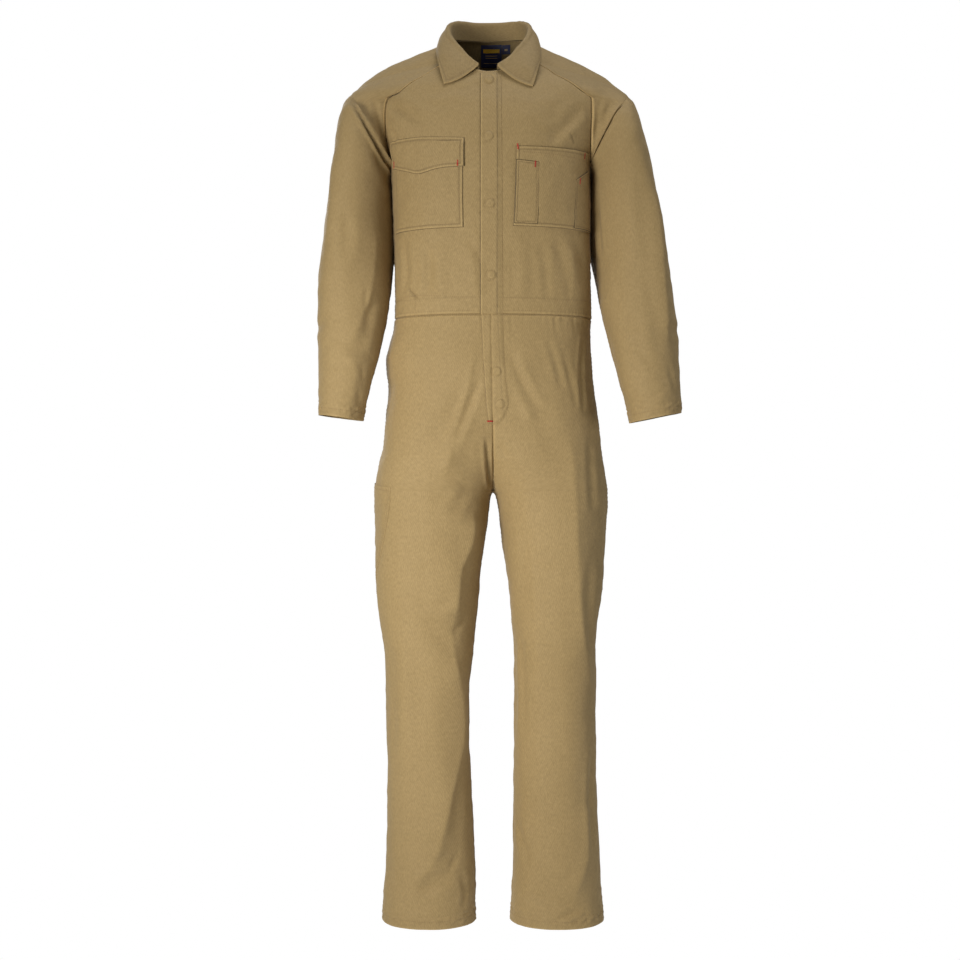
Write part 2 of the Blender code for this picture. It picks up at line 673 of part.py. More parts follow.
def collarGrid(surface):
    startAngle, endAngle = -collarRightRows["angle"][0], collarLeftRows["angle"][0]
    sweep = 360 - endAngle + startAngle
    grid = []
    for j in range(collarColumns + 1):
        angle = startAngle - sweep * j / collarColumns
        turn = angle if angle > -180 else angle + 360
        rows = collarRightRows if turn <= 0 else collarLeftRows
        size = abs(turn)
        base = neckPoint(turn)
        ahead, behind = neckPoint(turn + 1), neckPoint(turn - 1)
        run = ahead - behind
        out = np.array([-run[1], run[0], 0]) * (-1)
        out /= np.linalg.norm(out)
        if out @ (base - [neckShift, 0, base[2]]) < 0:
            out = -out
        stand = float(along(rows, "angle", "stand", size))
        edge = np.array([float(along(rows, "angle", n, size)) for n in ("x", "y", "z")])
        up = np.array([0, 0, 1.0])
        line = [base + up * 1.1, base + up * (1.1 + stand * 0.5) - out * 0.3, base + up * (stand - 0.5)]
        line.append(base + out * 1.2 + up * (stand + 2.2))
        line.append(base + out * 4.2 + up * (stand + 3.6))
        line.append(base + out * 7.2 + up * (stand + 2.0))
        start = base + out * 8.4 + up * (stand - 2.0)
        for i in range(fallRows + 1):
            t = i / fallRows
            point = start + (edge - start) * t + (out + up * 0.4) * 3.0 * math.sin(math.pi * t)
            near, normal = surface.near(point)
            need = clothWall / 2 + collarWall / 2 + 1.8
            if (point - near) @ normal < need and i > 0:
                point = near + normal * need
            below, _, index, _ = surface.tree.ray_cast(Vector((*point[:2], 120)), Vector((0, 0, -1)))
            if below is not None and i > 0:
                below, normal = surface.at(below, index)
                if normal[2] > 0.6:
                    point[2] = max(point[2], below[2] + need / normal[2])
            line.append(point)
        grid.append(line)
    return np.array(grid)


def plainNormals(grid, outside):
    n = gridNormals(grid, False)
    n /= np.linalg.norm(n, axis=-1)[..., None]
    return n * outside


def disc(name, point, normal, radius, thick, paint, sides=14):
    across = np.cross(normal, [0, 0, 1.0])
    across /= np.linalg.norm(across)
    up = np.cross(across, normal)
    verts, faces = [], []
    for level in (-thick / 2, thick / 2):
        for i in range(sides):
            a = 2 * math.pi * i / sides
            verts.append(point + normal * level + across * radius * math.cos(a) + up * radius * math.sin(a))
    turn = np.dot(np.cross(across, up), normal) > 0
    ring = list(range(sides))
    low, high = ring, [i + sides for i in ring]
    faces.append(low[::-1] if turn else low)
    faces.append(high if turn else high[::-1])
    for i in ring:
        k = (i + 1) % sides
        quad = (i, k, k + sides, i + sides)
        faces.append(quad if turn else quad[::-1])
    addObject(name, verts, faces, paint)


def main():
    for old in list(bpy.data.objects):
        bpy.data.objects.remove(old, do_unlink=True)
    drill = material("cotton_drill", (0.40, 0.31, 0.16), 0.9)
    metal = material("press_stud_metal", (0.55, 0.53, 0.5), 0.35)
    label = material("woven_label", (0.02, 0.025, 0.06), 0.8)

    skin = foldedSkin(1)
    normals, raw = sharedNormals(skin)
    for name, grid in skin.items():
        n = normals[name]
        wall = clothWall * mitre(n, raw[name])
        if name.startswith(("leg", "sleeve")):
            wall[-2:] += hemExtra
        wallObject(name, grid, n, wall, drill, around=name.startswith("sleeve"), sign=outward[name])

    surface = Surface(3)
    grid = collarGrid(surface)
    outside = plainNormals(grid, 1)
    probe = grid[len(grid) // 2, 1] - [neckShift, 0, grid[len(grid) // 2, 1][2]]
    turn = 1 if outside[len(grid) // 2, 1] @ probe > 0 else -1
    wallObject("collar", grid, outside * turn, collarWall, drill, sign=turn, retract=0)

    base = clothWall / 2 + patchGap + patchWall / 2 + 0.3
    step = patchWall + patchGap
    studs = [(-7.6, -68, 0), (-7.9, -173, 0), (-5.3, -289, 0), (-3.5, -412, 0), (6, -580, 1), (12, -636, 1)]
    flat = 6.8
    lift = 1.4
    placketXs = [-23.4, -17.0, -5.6 - flat, -5.6, -5.6 + flat, 13.5]
    heights = [-478.5]
    for x, z, fly in studs[3::-1]:
        heights += [z - flat, z, z + flat]
    heights += [-53.5]
    heights += [-445, -380, -350, -320, -258, -230, -205, -145, -118, -92]
    heights = sorted(heights)
    lines = [[("front", x + (2.5 * (z + 50) / -430 if x > 0 else 0), z) for x in placketXs] for z in heights]
    bumps = [(x, z, lift, flat * 1.5) for x, z, fly in studs[:4]]
    patch("placket", surface, lines, base, patchWall, drill, bumps)

    flyRows = table("z left right", [
        (-674, 0, 5), (-666, -9, 15), (-652, -11, 22.5), (-636 - flat, -12.5, 26.5), (-636, -13, 27.2),
        (-636 + flat, -13.5, 27.0), (-608, -15.0, 25.0), (-580 - flat, -16.2, 22.0), (-580, -16.6, 21.6),
        (-580 + flat, -17.0, 21.0), (-550, -19.0, 19.0), (-515, -20.5, 17.5), (-481.5, -22, 16.5)])
    lines = []
    for i, z in enumerate(flyRows["z"]):
        left, right = flyRows["left"][i], flyRows["right"][i]
        stud = 12 if z < -600 else 6
        xs = [left, (left + stud - flat) / 2, stud - flat, stud, stud + flat, right]
        if z < -650:
            xs = [left + (right - left) * f for f in (0, 0.2, 0.4, 0.6, 0.8, 1)]
        lines.append([("front", x, z) for x in xs])
    bumps = [(x, z, lift, flat * 1.5) for x, z, fly in studs[4:]]
    patch("fly", surface, lines, base, patchWall, drill, bumps)

    for i, (x, z, fly) in enumerate(studs):
        point, normal = surface.front(x, z)
        disc("stud_%d" % (i + 1), point + normal * (clothWall / 2 + 0.45 + 0.5), normal, 6.0, 1.0, metal)

    lines = quadLines("body", [(-76, -331), (-22, -329.5), (-71.5, -176), (-20.6, -181)], 8, 9)
    patch("pocket_right", surface, lines, base, patchWall, drill)
    flap = table("angle low high", [(-73.5, -216, -169), (-62, -226, -169), (-51.5, -233.7, -169.6),
                                    (-42, -229.5, -171.5), (-33, -226.5, -173.2), (-20.2, -226, -175.2)])
    lines = []
    for i in range(15):
        a = -73.5 + (-20.2 + 73.5) * i / 14
        low, high = along(flap, "angle", "low", a), along(flap, "angle", "high", a)
        lines.append([("body", a, high + (low - high) * k / 4) for k in range(5)])
    patch("pocket_flap_right", surface, lines, base + step + 0.5, patchWall, drill)

    lines = quadLines("body", [(17.5, -327.5), (79, -329), (18.7, -190), (73, -188)], 8, 10)
    patch("pocket_left", surface, lines, base, patchWall, drill)
    lines = quadLines("body", [(18.2, -323), (35.2, -323), (18.6, -213.5), (34.7, -217)], 6, 3)
    patch("pen_pocket_left", surface, lines, base + step, patchWall, drill)
    lines = quadLines("body", [(60.4, -325.5), (78, -327), (61.5, -239.5), (74, -219)], 5, 3)
    patch("pencil_pocket_left", surface, lines, base + step, patchWall, drill)

    rule = table("front back zFront zBack", [(-84, -112, -990, -990), (-72, -116, -945, -950),
                                             (-60, -119, -912, -915), (-48, -122, -867, -870),
                                             (-41, -124, -823, -825), (-39.5, -125, -800, -797),
                                             (-39, -125, -781, -770)])
    lines = []
    for i in range(7):
        span = [k / 6 for k in range(7)]
        lines.append([("legRight", rule["front"][i] * (1 - u) + rule["back"][i] * u,
                       rule["zFront"][i] * (1 - u) + rule["zBack"][i] * u) for u in span])
    patch("rule_pocket", surface, lines, base + 0.8, patchWall, drill)

    for name, x1, x2, z1, z2, wall in (("neck_label", -21.5, 17.0, -2.5, 35.0, 0.9),
                                        ("size_label", 17.8, 33.0, 19.0, 34.0, 0.9)):
        lines = []
        for i in range(5):
            z = z1 + (z2 - z1) * i / 4
            line = []
            for j in range(5):
                x = x1 + (x2 - x1) * j / 4
                hit, _, index, _ = surface.tree.ray_cast(Vector((x, 0, z)), Vector((0, 1, 0)))
                line.append(surface.at(hit, index))
            lines.append(line)
        inside = clothWall / 2 + 0.6 + wall / 2
        grid = np.array([[p - n * inside for p, n in line] for line in lines])
        norm = np.array([[-n for p, n in line] for line in lines])
        cell = np.cross(grid[0, 1] - grid[0, 0], grid[1, 0] - grid[0, 0])
        wallObject(name, grid, norm, wall, label, sign=1 if cell @ norm[0, 0] > 0 else -1, retract=0)


main()
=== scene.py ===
# boiler suit of cotton drill in its worn shape, no wearer. Tables are in millimetres
import math

import bpy
import numpy as np
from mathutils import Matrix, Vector
from mathutils.bvhtree import BVHTree


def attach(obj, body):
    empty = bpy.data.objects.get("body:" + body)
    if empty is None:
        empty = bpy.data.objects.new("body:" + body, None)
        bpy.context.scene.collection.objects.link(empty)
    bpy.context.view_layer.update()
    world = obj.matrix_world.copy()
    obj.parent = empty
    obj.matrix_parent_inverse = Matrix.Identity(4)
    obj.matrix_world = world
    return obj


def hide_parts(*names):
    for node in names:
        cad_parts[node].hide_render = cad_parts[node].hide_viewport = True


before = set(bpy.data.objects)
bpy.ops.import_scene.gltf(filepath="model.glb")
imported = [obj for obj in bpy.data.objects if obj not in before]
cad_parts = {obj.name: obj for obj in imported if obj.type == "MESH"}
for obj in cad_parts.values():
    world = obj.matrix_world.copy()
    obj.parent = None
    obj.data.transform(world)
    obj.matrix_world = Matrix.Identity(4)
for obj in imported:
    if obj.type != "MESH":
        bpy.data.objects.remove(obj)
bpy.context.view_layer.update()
mm = 0.001

# the lens is 3 m away, level with a point a little below the suit's middle
view = {"place": (-0.0234, -3.0, -0.7686), "lens": 62.23}

# how finely each panel is cut up, and the cloth itself
cloth = {"fine": 9, "legFine": 9, "crease": 1.65, "plane": 1.6, "thick": 1.1, "face": 0.8, "waist": -480.0,
         "armpit": -205.0, "crotch": -788.0, "quarter": 12, "sideRows": 10, "armRows": 9, "neckColumns": 4,
         "capRings": 5, "tuck": 4.5, "gather": 0.7, "waistStitch": 29.2, "stitchBeside": 7.0}
neck = {"half": 70.0, "shift": -7.0, "front": 75.0, "back": 65.0, "frontSeam": 58.0, "backSeam": 130.0}
seamNear = [1.2, 2.6, 4.4, 6.6, 9.2]


def table(names, rows):
    return {name: np.array([row[i] for row in rows]) for i, name in enumerate(names.split())}


def bell(x, wide, at=0.0):
    return np.exp(-((x - at) / wide) ** 2)


def ramp(x, wide):
    return np.clip(x / wide, 0, 1)


def eased(t):
    return t * t * (3 - 2 * t)


# body above the waist: a row for each height
bodyRows = table("z centre right left front back power spread", [
    (-480, -4, -176.0, 176.0, 112, 105, 2.30, 0),
    (-430, -4, -176.4, 176.2, 114, 106, 2.30, 0),
    (-380, -4, -176.4, 176.2, 117, 109, 2.28, 0),
    (-330, -4, -179.0, 175.0, 121, 114, 2.26, 0),
    (-290, -4, -180.0, 174.5, 125, 118, 2.25, 0),
    (-250, -4, -181.0, 174.0, 128, 121, 2.25, 0),
    (-205, -4, -184.5, 176.0, 129, 123, 2.25, 0),
    (-175, -4, -193.0, 185.0, 127, 123, 2.25, 0),
    (-145, -4, -201.0, 194.0, 123, 121, 2.25, 0),
    (-110, -4, -208.0, 201.0, 113, 117, 2.25, 0),
    (-92, -5, -209.0, 203.0, 104, 113, 2.25, 0),
    (-75, -5, -206.0, 200.0, 95, 109, 2.25, 3),
    (-61, -5, -193.0, 187.0, 87, 105, 2.22, 8),
    (-47, -6, -173.0, 166.0, 77, 100, 2.20, 14),
    (-30, -6, -141.0, 132.0, 66, 93, 2.15, 20),
    (-11, -7, -112.0, 100.0, 52, 84, 2.10, 24),
    (18, -7, -82.0, 68.0, 40, 72, 2.05, 27),
    (40, -7, -76.0, 62.0, 34, 65, 2.00, 27),
])

# seam between body and sleeve
frontSeamRows = table("step zRight xRight zLeft xLeft", [
    (0, -205, -184.5, -205, 176.0),
    (1, -183, -186.8, -184, 172.5),
    (2, -152, -191.0, -155, 172.5),
    (3, -120, -191.5, -123, 173.5),
    (4, -92, -187.0, -93, 172.5),
    (5, -84, -168.5, -81, 156.5),
    (6, -69, -148.0, -68, 138.0),
    (7, -53, -125.0, -53, 115.5),
    (8, -34, -97.0, -33, 86.0),
    (9, -11, -66.4, -11, 52.4),
])
backSeamRows = table("step zRight xRight zLeft xLeft", [
    (0, -205, -184.5, -205, 176.0),
    (1, -178, -184.0, -178, 175.0),
    (2, -148, -180.0, -148, 171.0),
    (3, -118, -174.0, -118, 165.0),
    (4, -90, -165.0, -90, 156.0),
    (5, -64, -150.0, -64, 141.0),
    (6, -39, -130.0, -39, 121.0),
    (7, -14, -108.0, -14, 98.0),
    (8, 12, -84.0, 12, 72.0),
    (9, 37, -60.6, 37, 46.6),
])

# legs: share is 0 where both legs make one ring and 1 below the crotch
legRows = table("z centre outRight outLeft inRight inLeft share front back mid power", [
    (-480, -4.0, 172.0, 180.0, 0, 0, 0.00, 112, 105, 0, 2.30),
    (-500, -4.0, 175.0, 179.0, 0, 0, 0.00, 113, 109, 0, 2.30),
    (-525, -3.5, 182.5, 178.5, 0, 0, 0.01, 114, 115, 0, 2.30),
    (-555, -3.0, 190.0, 179.5, 0, 0, 0.03, 115, 121, 1, 2.28),
    (-580, -2.5, 188.5, 181.0, 0, 0, 0.06, 115, 126, 2, 2.26),
    (-608, -2.0, 186.0, 184.0, 0, 0, 0.12, 115, 130, 3, 2.25),
    (-640, -1.5, 189.5, 187.5, 0, 0, 0.22, 114, 132, 4, 2.25),
    (-668, -1.0, 192.5, 190.0, 0, 0, 0.35, 113, 132, 5, 2.25),
    (-713, -0.5, 197.5, 195.5, 0, 0, 0.58, 112, 128, 7, 2.25),
    (-743, 0.0, 205.0, 200.0, 0, 0, 0.76, 112, 124, 8, 2.25),
    (-768, 0.0, 210.0, 204.0, 0, 0, 0.91, 112, 120, 9, 2.25),
    (-783, 0.0, 212.4, 206.0, 0, 0, 0.98, 113, 118, 10, 2.25),
    (-788, 0.0, 212.6, 206.8, 0.0, 0.0, 1.00, 113, 117, 10, 2.25),
    (-793, 0.0, 212.6, 207.0, 4.0, 5.0, 1.00, 113, 116, 10, 2.25),
    (-806, 0.0, 212.0, 207.0, 7.0, 9.0, 1.00, 112, 114, 10, 2.25),
    (-832, 0.0, 210.6, 205.0, 9.5, 12.5, 1.00, 111, 111, 9, 2.25),
    (-882, 0.0, 210.4, 201.6, 16.2, 18.0, 1.00, 107, 106, 7, 2.23),
    (-932, 0.0, 208.8, 199.8, 23.4, 25.2, 1.00, 103, 102, 4, 2.22),
    (-983, 0.0, 207.0, 194.4, 27.5, 32.4, 1.00, 99, 98, 2, 2.20),
    (-1033, 0.0, 201.6, 187.0, 32.4, 36.0, 1.00, 95, 94, 0, 2.20),
    (-1084, 0.0, 194.6, 183.6, 38.0, 39.0, 1.00, 91, 91, -1, 2.18),
    (-1159, 0.0, 191.2, 183.6, 44.3, 39.8, 1.00, 87, 88, -2, 2.15),
    (-1235, 0.0, 189.4, 185.2, 44.4, 39.6, 1.00, 85, 87, 0, 2.15),
    (-1310, 0.0, 189.0, 186.6, 39.6, 38.2, 1.00, 83, 86, 3, 2.12),
    (-1386, 0.0, 190.6, 188.4, 36.0, 37.8, 1.00, 81, 85, 4, 2.12),
    (-1462, 0.0, 193.0, 192.4, 34.2, 37.8, 1.00, 80, 84, 3, 2.10),
    (-1512, 0.0, 196.0, 195.0, 34.2, 35.0, 1.00, 79, 82, 2, 2.10),
    (-1561, 0.0, 198.0, 198.0, 33.0, 32.6, 1.00, 78, 80, 2, 2.10),
])
legLevels = [-480, -490, -512, -545, -580, -615, -650, -683, -712, -738, -758, -774, -788, -800, -818, -845,
             -880, -925, -985, -1045, -1110, -1180, -1260, -1340, -1420, -1490, -1537, -1561]

# sleeve rings from the shoulder crease to the hem
sleeveRightRows = table("xIn zIn xOut zOut mid front back lean", [
    (-194.0, -209, -254, -76, 0, 66, 70, 3),
    (-191.8, -218, -263, -88, -1, 80, 75, 14),
    (-187.8, -231, -271, -112, -2, 84, 79, 27),
    (-185.4, -250, -277, -145, -3, 86, 81, 35),
    (-183.6, -279, -283, -188, -4, 86, 82, 37),
    (-182.6, -311, -290, -240, -6, 85, 81, 37),
    (-182.2, -346, -297, -300, -9, 83, 78, 36),
    (-182.6, -380, -304, -360, -13, 80, 75, 32),
    (-183.5, -415, -309, -408, -18, 77, 72, 24),
    (-187.0, -452, -311.5, -452, -24, 73, 68, 15),
    (-193.0, -492, -311.5, -496, -31, 69, 64, 8),
    (-201.5, -532, -311.2, -538, -39, 66, 60, 4),
    (-210.0, -570, -310.5, -576, -47, 62, 57, 2),
    (-219.0, -605, -309.5, -608, -55, 59, 54, 0),
    (-226.5, -639, -307.5, -632, -61, 56, 52, 0),
    (-230.5, -664, -306.0, -654, -65, 54, 50, 0),
])
sleeveLeftRows = table("xIn zIn xOut zOut mid front back lean", [
    (184.2, -208, 242, -80, 0, 66, 70, 3),
    (183.0, -217, 250, -92, -1, 80, 75, 13),
    (180.2, -230, 258, -116, -2, 84, 79, 28),
    (178.4, -249, 266, -150, -3, 86, 81, 38),
    (177.4, -278, 276, -192, -4, 86, 82, 41),
    (177.4, -309, 287, -244, -6, 85, 81, 41),
    (178.6, -344, 297, -302, -9, 83, 78, 40),
    (181.5, -378, 307, -360, -13, 80, 75, 34),
    (187.5, -414, 315.5, -408, -18, 77, 72, 24),
    (193.0, -450, 321.5, -452, -24, 74, 69, 15),
    (199.5, -488, 326.5, -494, -31, 70, 65, 8),
    (207.5, -526, 329.0, -534, -39, 67, 61, 4),
    (216.0, -563, 330.0, -571, -47, 63, 58, 2),
    (225.0, -600, 330.5, -605, -55, 60, 55, 0),
    (235.5, -636, 331.5, -632, -61, 57, 53, 0),
    (242.0, -668, 331.0, -650, -65, 55, 51, 0),
])
capAngles = [0, 45, 80, 105, 125, 137, 147, 156, 164, 171, 176, 180, 184, 189, 196, 204, 213, 223, 235, 255,
             280, 315]
capPull = [0, 0, 0, 0.1, 0.25, 0.4, 0.6, 0.8, 0.95, 1, 1, 1, 1, 1, 0.95, 0.85, 0.7, 0.5, 0.3, 0.15, 0, 0]

# collar: angle round the neck, height of the stand, then the edge of the fall
collarRightRows = table("angle stand x y z", [
    (15, 6, -86.5, -93, -74.5),
    (30, 13, -90.5, -86, -60.0),
    (45, 21, -94.0, -75, -44.0),
    (70, 25, -99.0, -52, -19.0),
    (90, 28, -101.5, -20, 2.0),
    (100, 29, -98.0, 1, 14.5),
    (110, 30, -91.5, 23, 28.0),
    (120, 31, -88.5, 38, 30.5),
    (130, 32, -82.0, 52, 26.5),
    (155, 32, -51.0, 75, 17.0),
    (180, 32, -7.0, 83, 16.0),
])
collarLeftRows = table("angle stand x y z", [
    (11.5, 6, 69.0, -93, -79.5),
    (30, 13, 74.5, -86, -62.0),
    (45, 21, 78.0, -75, -47.0),
    (70, 25, 84.0, -52, -22.0),
    (90, 28, 86.0, -20, 1.0),
    (100, 29, 82.5, 1, 14.0),
    (110, 30, 77.0, 23, 28.0),
    (120, 31, 74.5, 38, 30.5),
    (130, 32, 68.0, 52, 26.5),
    (155, 32, 37.0, 75, 17.0),
    (180, 32, -7.0, 83, 16.0),
])

# large folds, as in the part's solids
foldRows = table("x1 y1 z1 x2 y2 z2 wide high", [
    (-200, -75, -98, -125, -115, -165, 15, -5.0),
    (-178, -85, -95, -112, -118, -150, 13, 3.0),
    (140, -95, -92, 92, -120, -160, 15, -4.0),
    (150, -98, -330, 163, -60, -400, 14, -4.5),
    (128, -106, -320, 140, -95, -430, 15, 3.5),
    (118, -108, -350, 126, -106, -455, 12, -2.5),
    (-152, -90, -380, -148, -90, -462, 12, -2.5),
    (-18, -110, -530, -80, -115, -690, 18, -4.0),
    (22, -108, -530, 52, -110, -665, 18, -3.0),
    (-70, -110, -640, -150, -85, -800, 22, -3.5),
    (70, -112, -640, 140, -90, -790, 22, -3.0),
    (-60, -95, -860, -42, -70, -1010, 18, -4.0),
    (55, -95, -870, 48, -75, -1000, 18, -3.0),
    (-60, -80, -1085, -110, -90, -1030, 16, -4.0),
    (-55, -75, -1250, -62, -80, -1440, 20, -5.0),
    (60, -78, -1230, 58, -80, -1420, 18, -2.5),
    (-60, -70, -1440, -130, -85, -1500, 16, -4.0),
    (80, -80, -1490, 150, -80, -1520, 16, -4.0),
    (-100, 120, -180, -120, 120, -420, 22, -5.0),
    (95, 120, -170, 112, 120, -420, 22, -5.0),
    (-90, 130, -640, -130, 118, -820, 24, -5.0),
    (90, 130, -640, 130, 118, -820, 24, -5.0),
    (-70, 95, -1070, -160, 95, -1110, 16, -4.0),
    (70, 95, -1080, 160, 95, -1110, 16, -4.0),
    (-208, -62, -205, -290, -40, -260, 13, -3.5),
    (-196, -92, -470, -300, -75, -500, 14, -4.0),
    (-210, -100, -535, -300, -95, -520, 12, -3.0),
    (262, -85, -290, 268, -95, -480, 16, -4.0),
    (205, -95, -480, 318, -80, -520, 14, -3.5),
    (-300, 45, -430, -205, 55, -480, 14, -4.0),
    (310, 45, -440, 215, 55, -490, 14, -4.0),
])


def along(rows, key, name, at):
    # smooth curve through a table's rows, with no overshoot
    xs, ys = rows[key].astype(float), rows[name].astype(float)
    if xs[0] > xs[-1]:
        xs, ys = xs[::-1], ys[::-1]
    step = np.diff(xs)
    slope = np.diff(ys) / step
    tangent = np.zeros(len(xs))
    tangent[0], tangent[-1] = slope[0], slope[-1]
    for i in range(1, len(xs) - 1):
        if slope[i - 1] * slope[i] > 0:
            tangent[i] = 2 * slope[i - 1] * slope[i] / (slope[i - 1] + slope[i])
    at = np.clip(at, xs[0], xs[-1])
    i = np.clip(np.searchsorted(xs, at, side="right") - 1, 0, len(step) - 1)
    t = (at - xs[i]) / step[i]
    first = (2 * t - 3) * t * t * (ys[i] - ys[i + 1]) + ys[i]
    return first + step[i] * t * (1 - t) * ((1 - t) * tangent[i] - t * tangent[i + 1])


def ringPoint(wide, front, back, power, angle):
    s, c = np.sin(angle), np.cos(angle)
    k = (np.abs(s) ** power + np.abs(c) ** power) ** (-1 / power)
    return wide * s * k, -np.where(c > 0, front, back) * c * k


def ringAngle(share, power):
    share = np.clip(share, 0, 1)
    return np.arctan2(share, (1 - share ** power) ** (1 / power))


def bodySize(side, z, behind):
    centre = along(bodyRows, "z", "centre", z)
    edge = along(bodyRows, "z", "right" if side < 0 else "left", z)
    return centre, np.abs(edge - centre) + np.where(behind, along(bodyRows, "z", "spread", z), 0)


def bodyPoint(side, angle, z):
    centre, wide = bodySize(side, z, np.cos(angle) < 0)
    front, back = along(bodyRows, "z", "front", z), along(bodyRows, "z", "back", z)
    x, y = ringPoint(wide, front, back, along(bodyRows, "z", "power", z), angle)
    return np.stack(np.broadcast_arrays(centre + side * x, y, z), axis=-1)


def neckPoint(turn):
    a = np.radians(turn)
    depth = np.where(np.cos(a) > 0, neck["front"], neck["back"])
    z = 7.25 - 43.5 * np.cos(a) - 10.75 * np.cos(2 * a)
    return np.stack([neck["shift"] + neck["half"] * np.sin(a), -depth * np.cos(a), z], axis=-1)


def steps(count, fine, near=()):
    # even steps through count rows, with a few more at the given places
    places = np.concatenate([np.linspace(0, count, count * fine + 1), np.array(near, float)])
    return np.unique(np.round(places, 6))


def bodyPanel(side, face, us, vs):
    front = face == "front"
    seam = frontSeamRows if front else backSeamRows
    xName, zName = ("xRight", "zRight") if side < 0 else ("xLeft", "zLeft")
    rows = cloth["sideRows"] + cloth["armRows"]
    up = np.clip(vs - cloth["sideRows"], 0, None)
    seamX, seamZ = along(seam, "step", xName, up), along(seam, "step", zName, up)
    centre, wide = bodySize(side, seamZ, not front)
    lowPart = vs <= cloth["sideRows"]
    sideAngle = ringAngle(np.abs(seamX - centre) / wide, along(bodyRows, "z", "power", seamZ))
    sideAngle = np.where(lowPart, math.pi / 2, sideAngle)[:, None]
    rise = cloth["armpit"] - cloth["waist"]
    sideZ = np.where(lowPart, cloth["waist"] + rise * vs / cloth["sideRows"], seamZ)[:, None]
    middleTop = neckPoint(0.0 if front else 180.0)[2]
    w, u = (vs / rows)[:, None], us[None, :]
    middleZ = cloth["waist"] + (middleTop - cloth["waist"]) * w
    turn = neck["frontSeam"] * us if front else 180 + (neck["backSeam"] - 180) * us
    edge = neckPoint(side * turn)[None]
    z = w * edge[..., 2] + (1 - u) * middleZ + u * sideZ - w * (1 - u) * middleTop - w * u * sideZ[-1]
    angle, topAngle = u * sideAngle, u * sideAngle[-1]
    if not front:
        angle, topAngle = math.pi - angle, math.pi - topAngle
    point = bodyPoint(side, angle, z)
    base = bodyPoint(side, topAngle, edge[..., 2])
    return point + (edge - base) * np.clip((w - 0.72) / 0.28, 0, None)[..., None] ** 2


def legPanel(side, face, us, zs):
    outName, inName = ("outRight", "inRight") if side < 0 else ("outLeft", "inLeft")
    row = {name: along(legRows, "z", name, zs)[:, None] for name in legRows}
    above = zs[:, None] > cloth["crotch"]
    out, inner, share, power = row[outName], row[inName], row["share"], row["power"]
    wide = np.where(above, out / (1 + share), (out - inner) / 2)
    centre = np.where(above, wide * share, (out + inner) / 2)
    start = np.where(above, -ringAngle(share, power), -math.pi / 2)
    bend = 1 + 1.6 * ramp(share - 0.5, 0.5) ** 2
    u = us[None, :]
    angle = -math.pi / 2 + math.pi * u + (start + math.pi / 2) * (1 - u) ** bend
    if face == "back":
        angle = math.pi - angle
    x, y = ringPoint(wide, row["front"], row["back"], power, angle)
    points = np.broadcast_arrays(row["centre"] + side * (centre + x), row["mid"] + y, zs[:, None])
    return np.stack(points, axis=-1)


def easeCrotch(grid, zs, us):
    # soften the change of form at the crotch's level, away from the inner seam
    widths = np.gradient(zs)
    near = bell(zs[:, None] - zs[None, :], 20) * np.abs(widths)
    near /= near.sum(axis=1, keepdims=True)
    soft = np.einsum("ij,jkc->ikc", near, grid[..., :2])
    part = bell(zs[:, None], 42, cloth["crotch"]) * ramp(us[None, :] - 0.05, 0.2)
    part = eased(part)[..., None]
    return np.concatenate([grid[..., :2] * (1 - part) + soft * part, grid[..., 2:]], axis=-1)


def sleevePanel(side, seamLoop, spots, fine):
    rows = sleeveRightRows if side < 0 else sleeveLeftRows
    count = len(rows["xIn"])
    rows = dict(rows, step=np.arange(count, dtype=float))
    ks = steps(count - 1, fine, [count - 1 - d / 34 for d in (1.5, 4, 12, 16, 20, 23, 26)])
    r = {name: along(rows, "step", name, ks)[:, None] for name in rows}
    knots = np.arange(len(capAngles) + 1)
    start = np.interp(spots, knots, capAngles + [360])
    pull = np.interp(spots, knots, capPull + [0])[:, None]
    relax = ramp(ks, 6)[:, None]
    turn = np.radians(start * (1 - relax) + 360 * spots / len(capAngles) * relax)
    s, c = np.sin(turn), np.cos(turn)
    tuck = side * (cloth["tuck"] + 4.0 * np.clip(1 - ks / 1.8, 0, 1)) * ramp(7.4 - ks, 1.6)
    r["xIn"] = r["xIn"] - tuck[:, None]
    x = (r["xIn"] + r["xOut"]) / 2 - (r["xOut"] - r["xIn"]) / 2 * c
    z = (r["zIn"] + r["zOut"]) / 2 - (r["zOut"] - r["zIn"]) / 2 * c
    y = r["mid"] - np.where(s > 0, r["front"], r["back"]) * s + r["lean"] * c
    rings = np.stack([x, y, z], axis=-1)
    chord = np.linalg.norm(rings[0] - seamLoop, axis=1)[:, None]
    leave = (rings[0] - seamLoop) * (1 - pull) + np.array([side, 0, -0.42]) * chord * pull
    two = int(np.argmin(np.abs(ks - 2)))
    onward = rings[two] - rings[0]
    arrive = onward / np.linalg.norm(onward, axis=1)[:, None] * chord * 0.85
    ts = steps(cloth["capRings"], fine, [0.07, 0.15, 0.25, 0.37, 0.5])[:-1] / cloth["capRings"]
    cap = []
    for t in ts:
        cap.append((2 * t ** 3 - 3 * t ** 2 + 1) * seamLoop + (t ** 3 - 2 * t ** 2 + t) * leave
                   + (3 * t ** 2 - 2 * t ** 3) * rings[0] + (t ** 3 - t ** 2) * arrive)
    return np.concatenate([np.array(cap), rings])


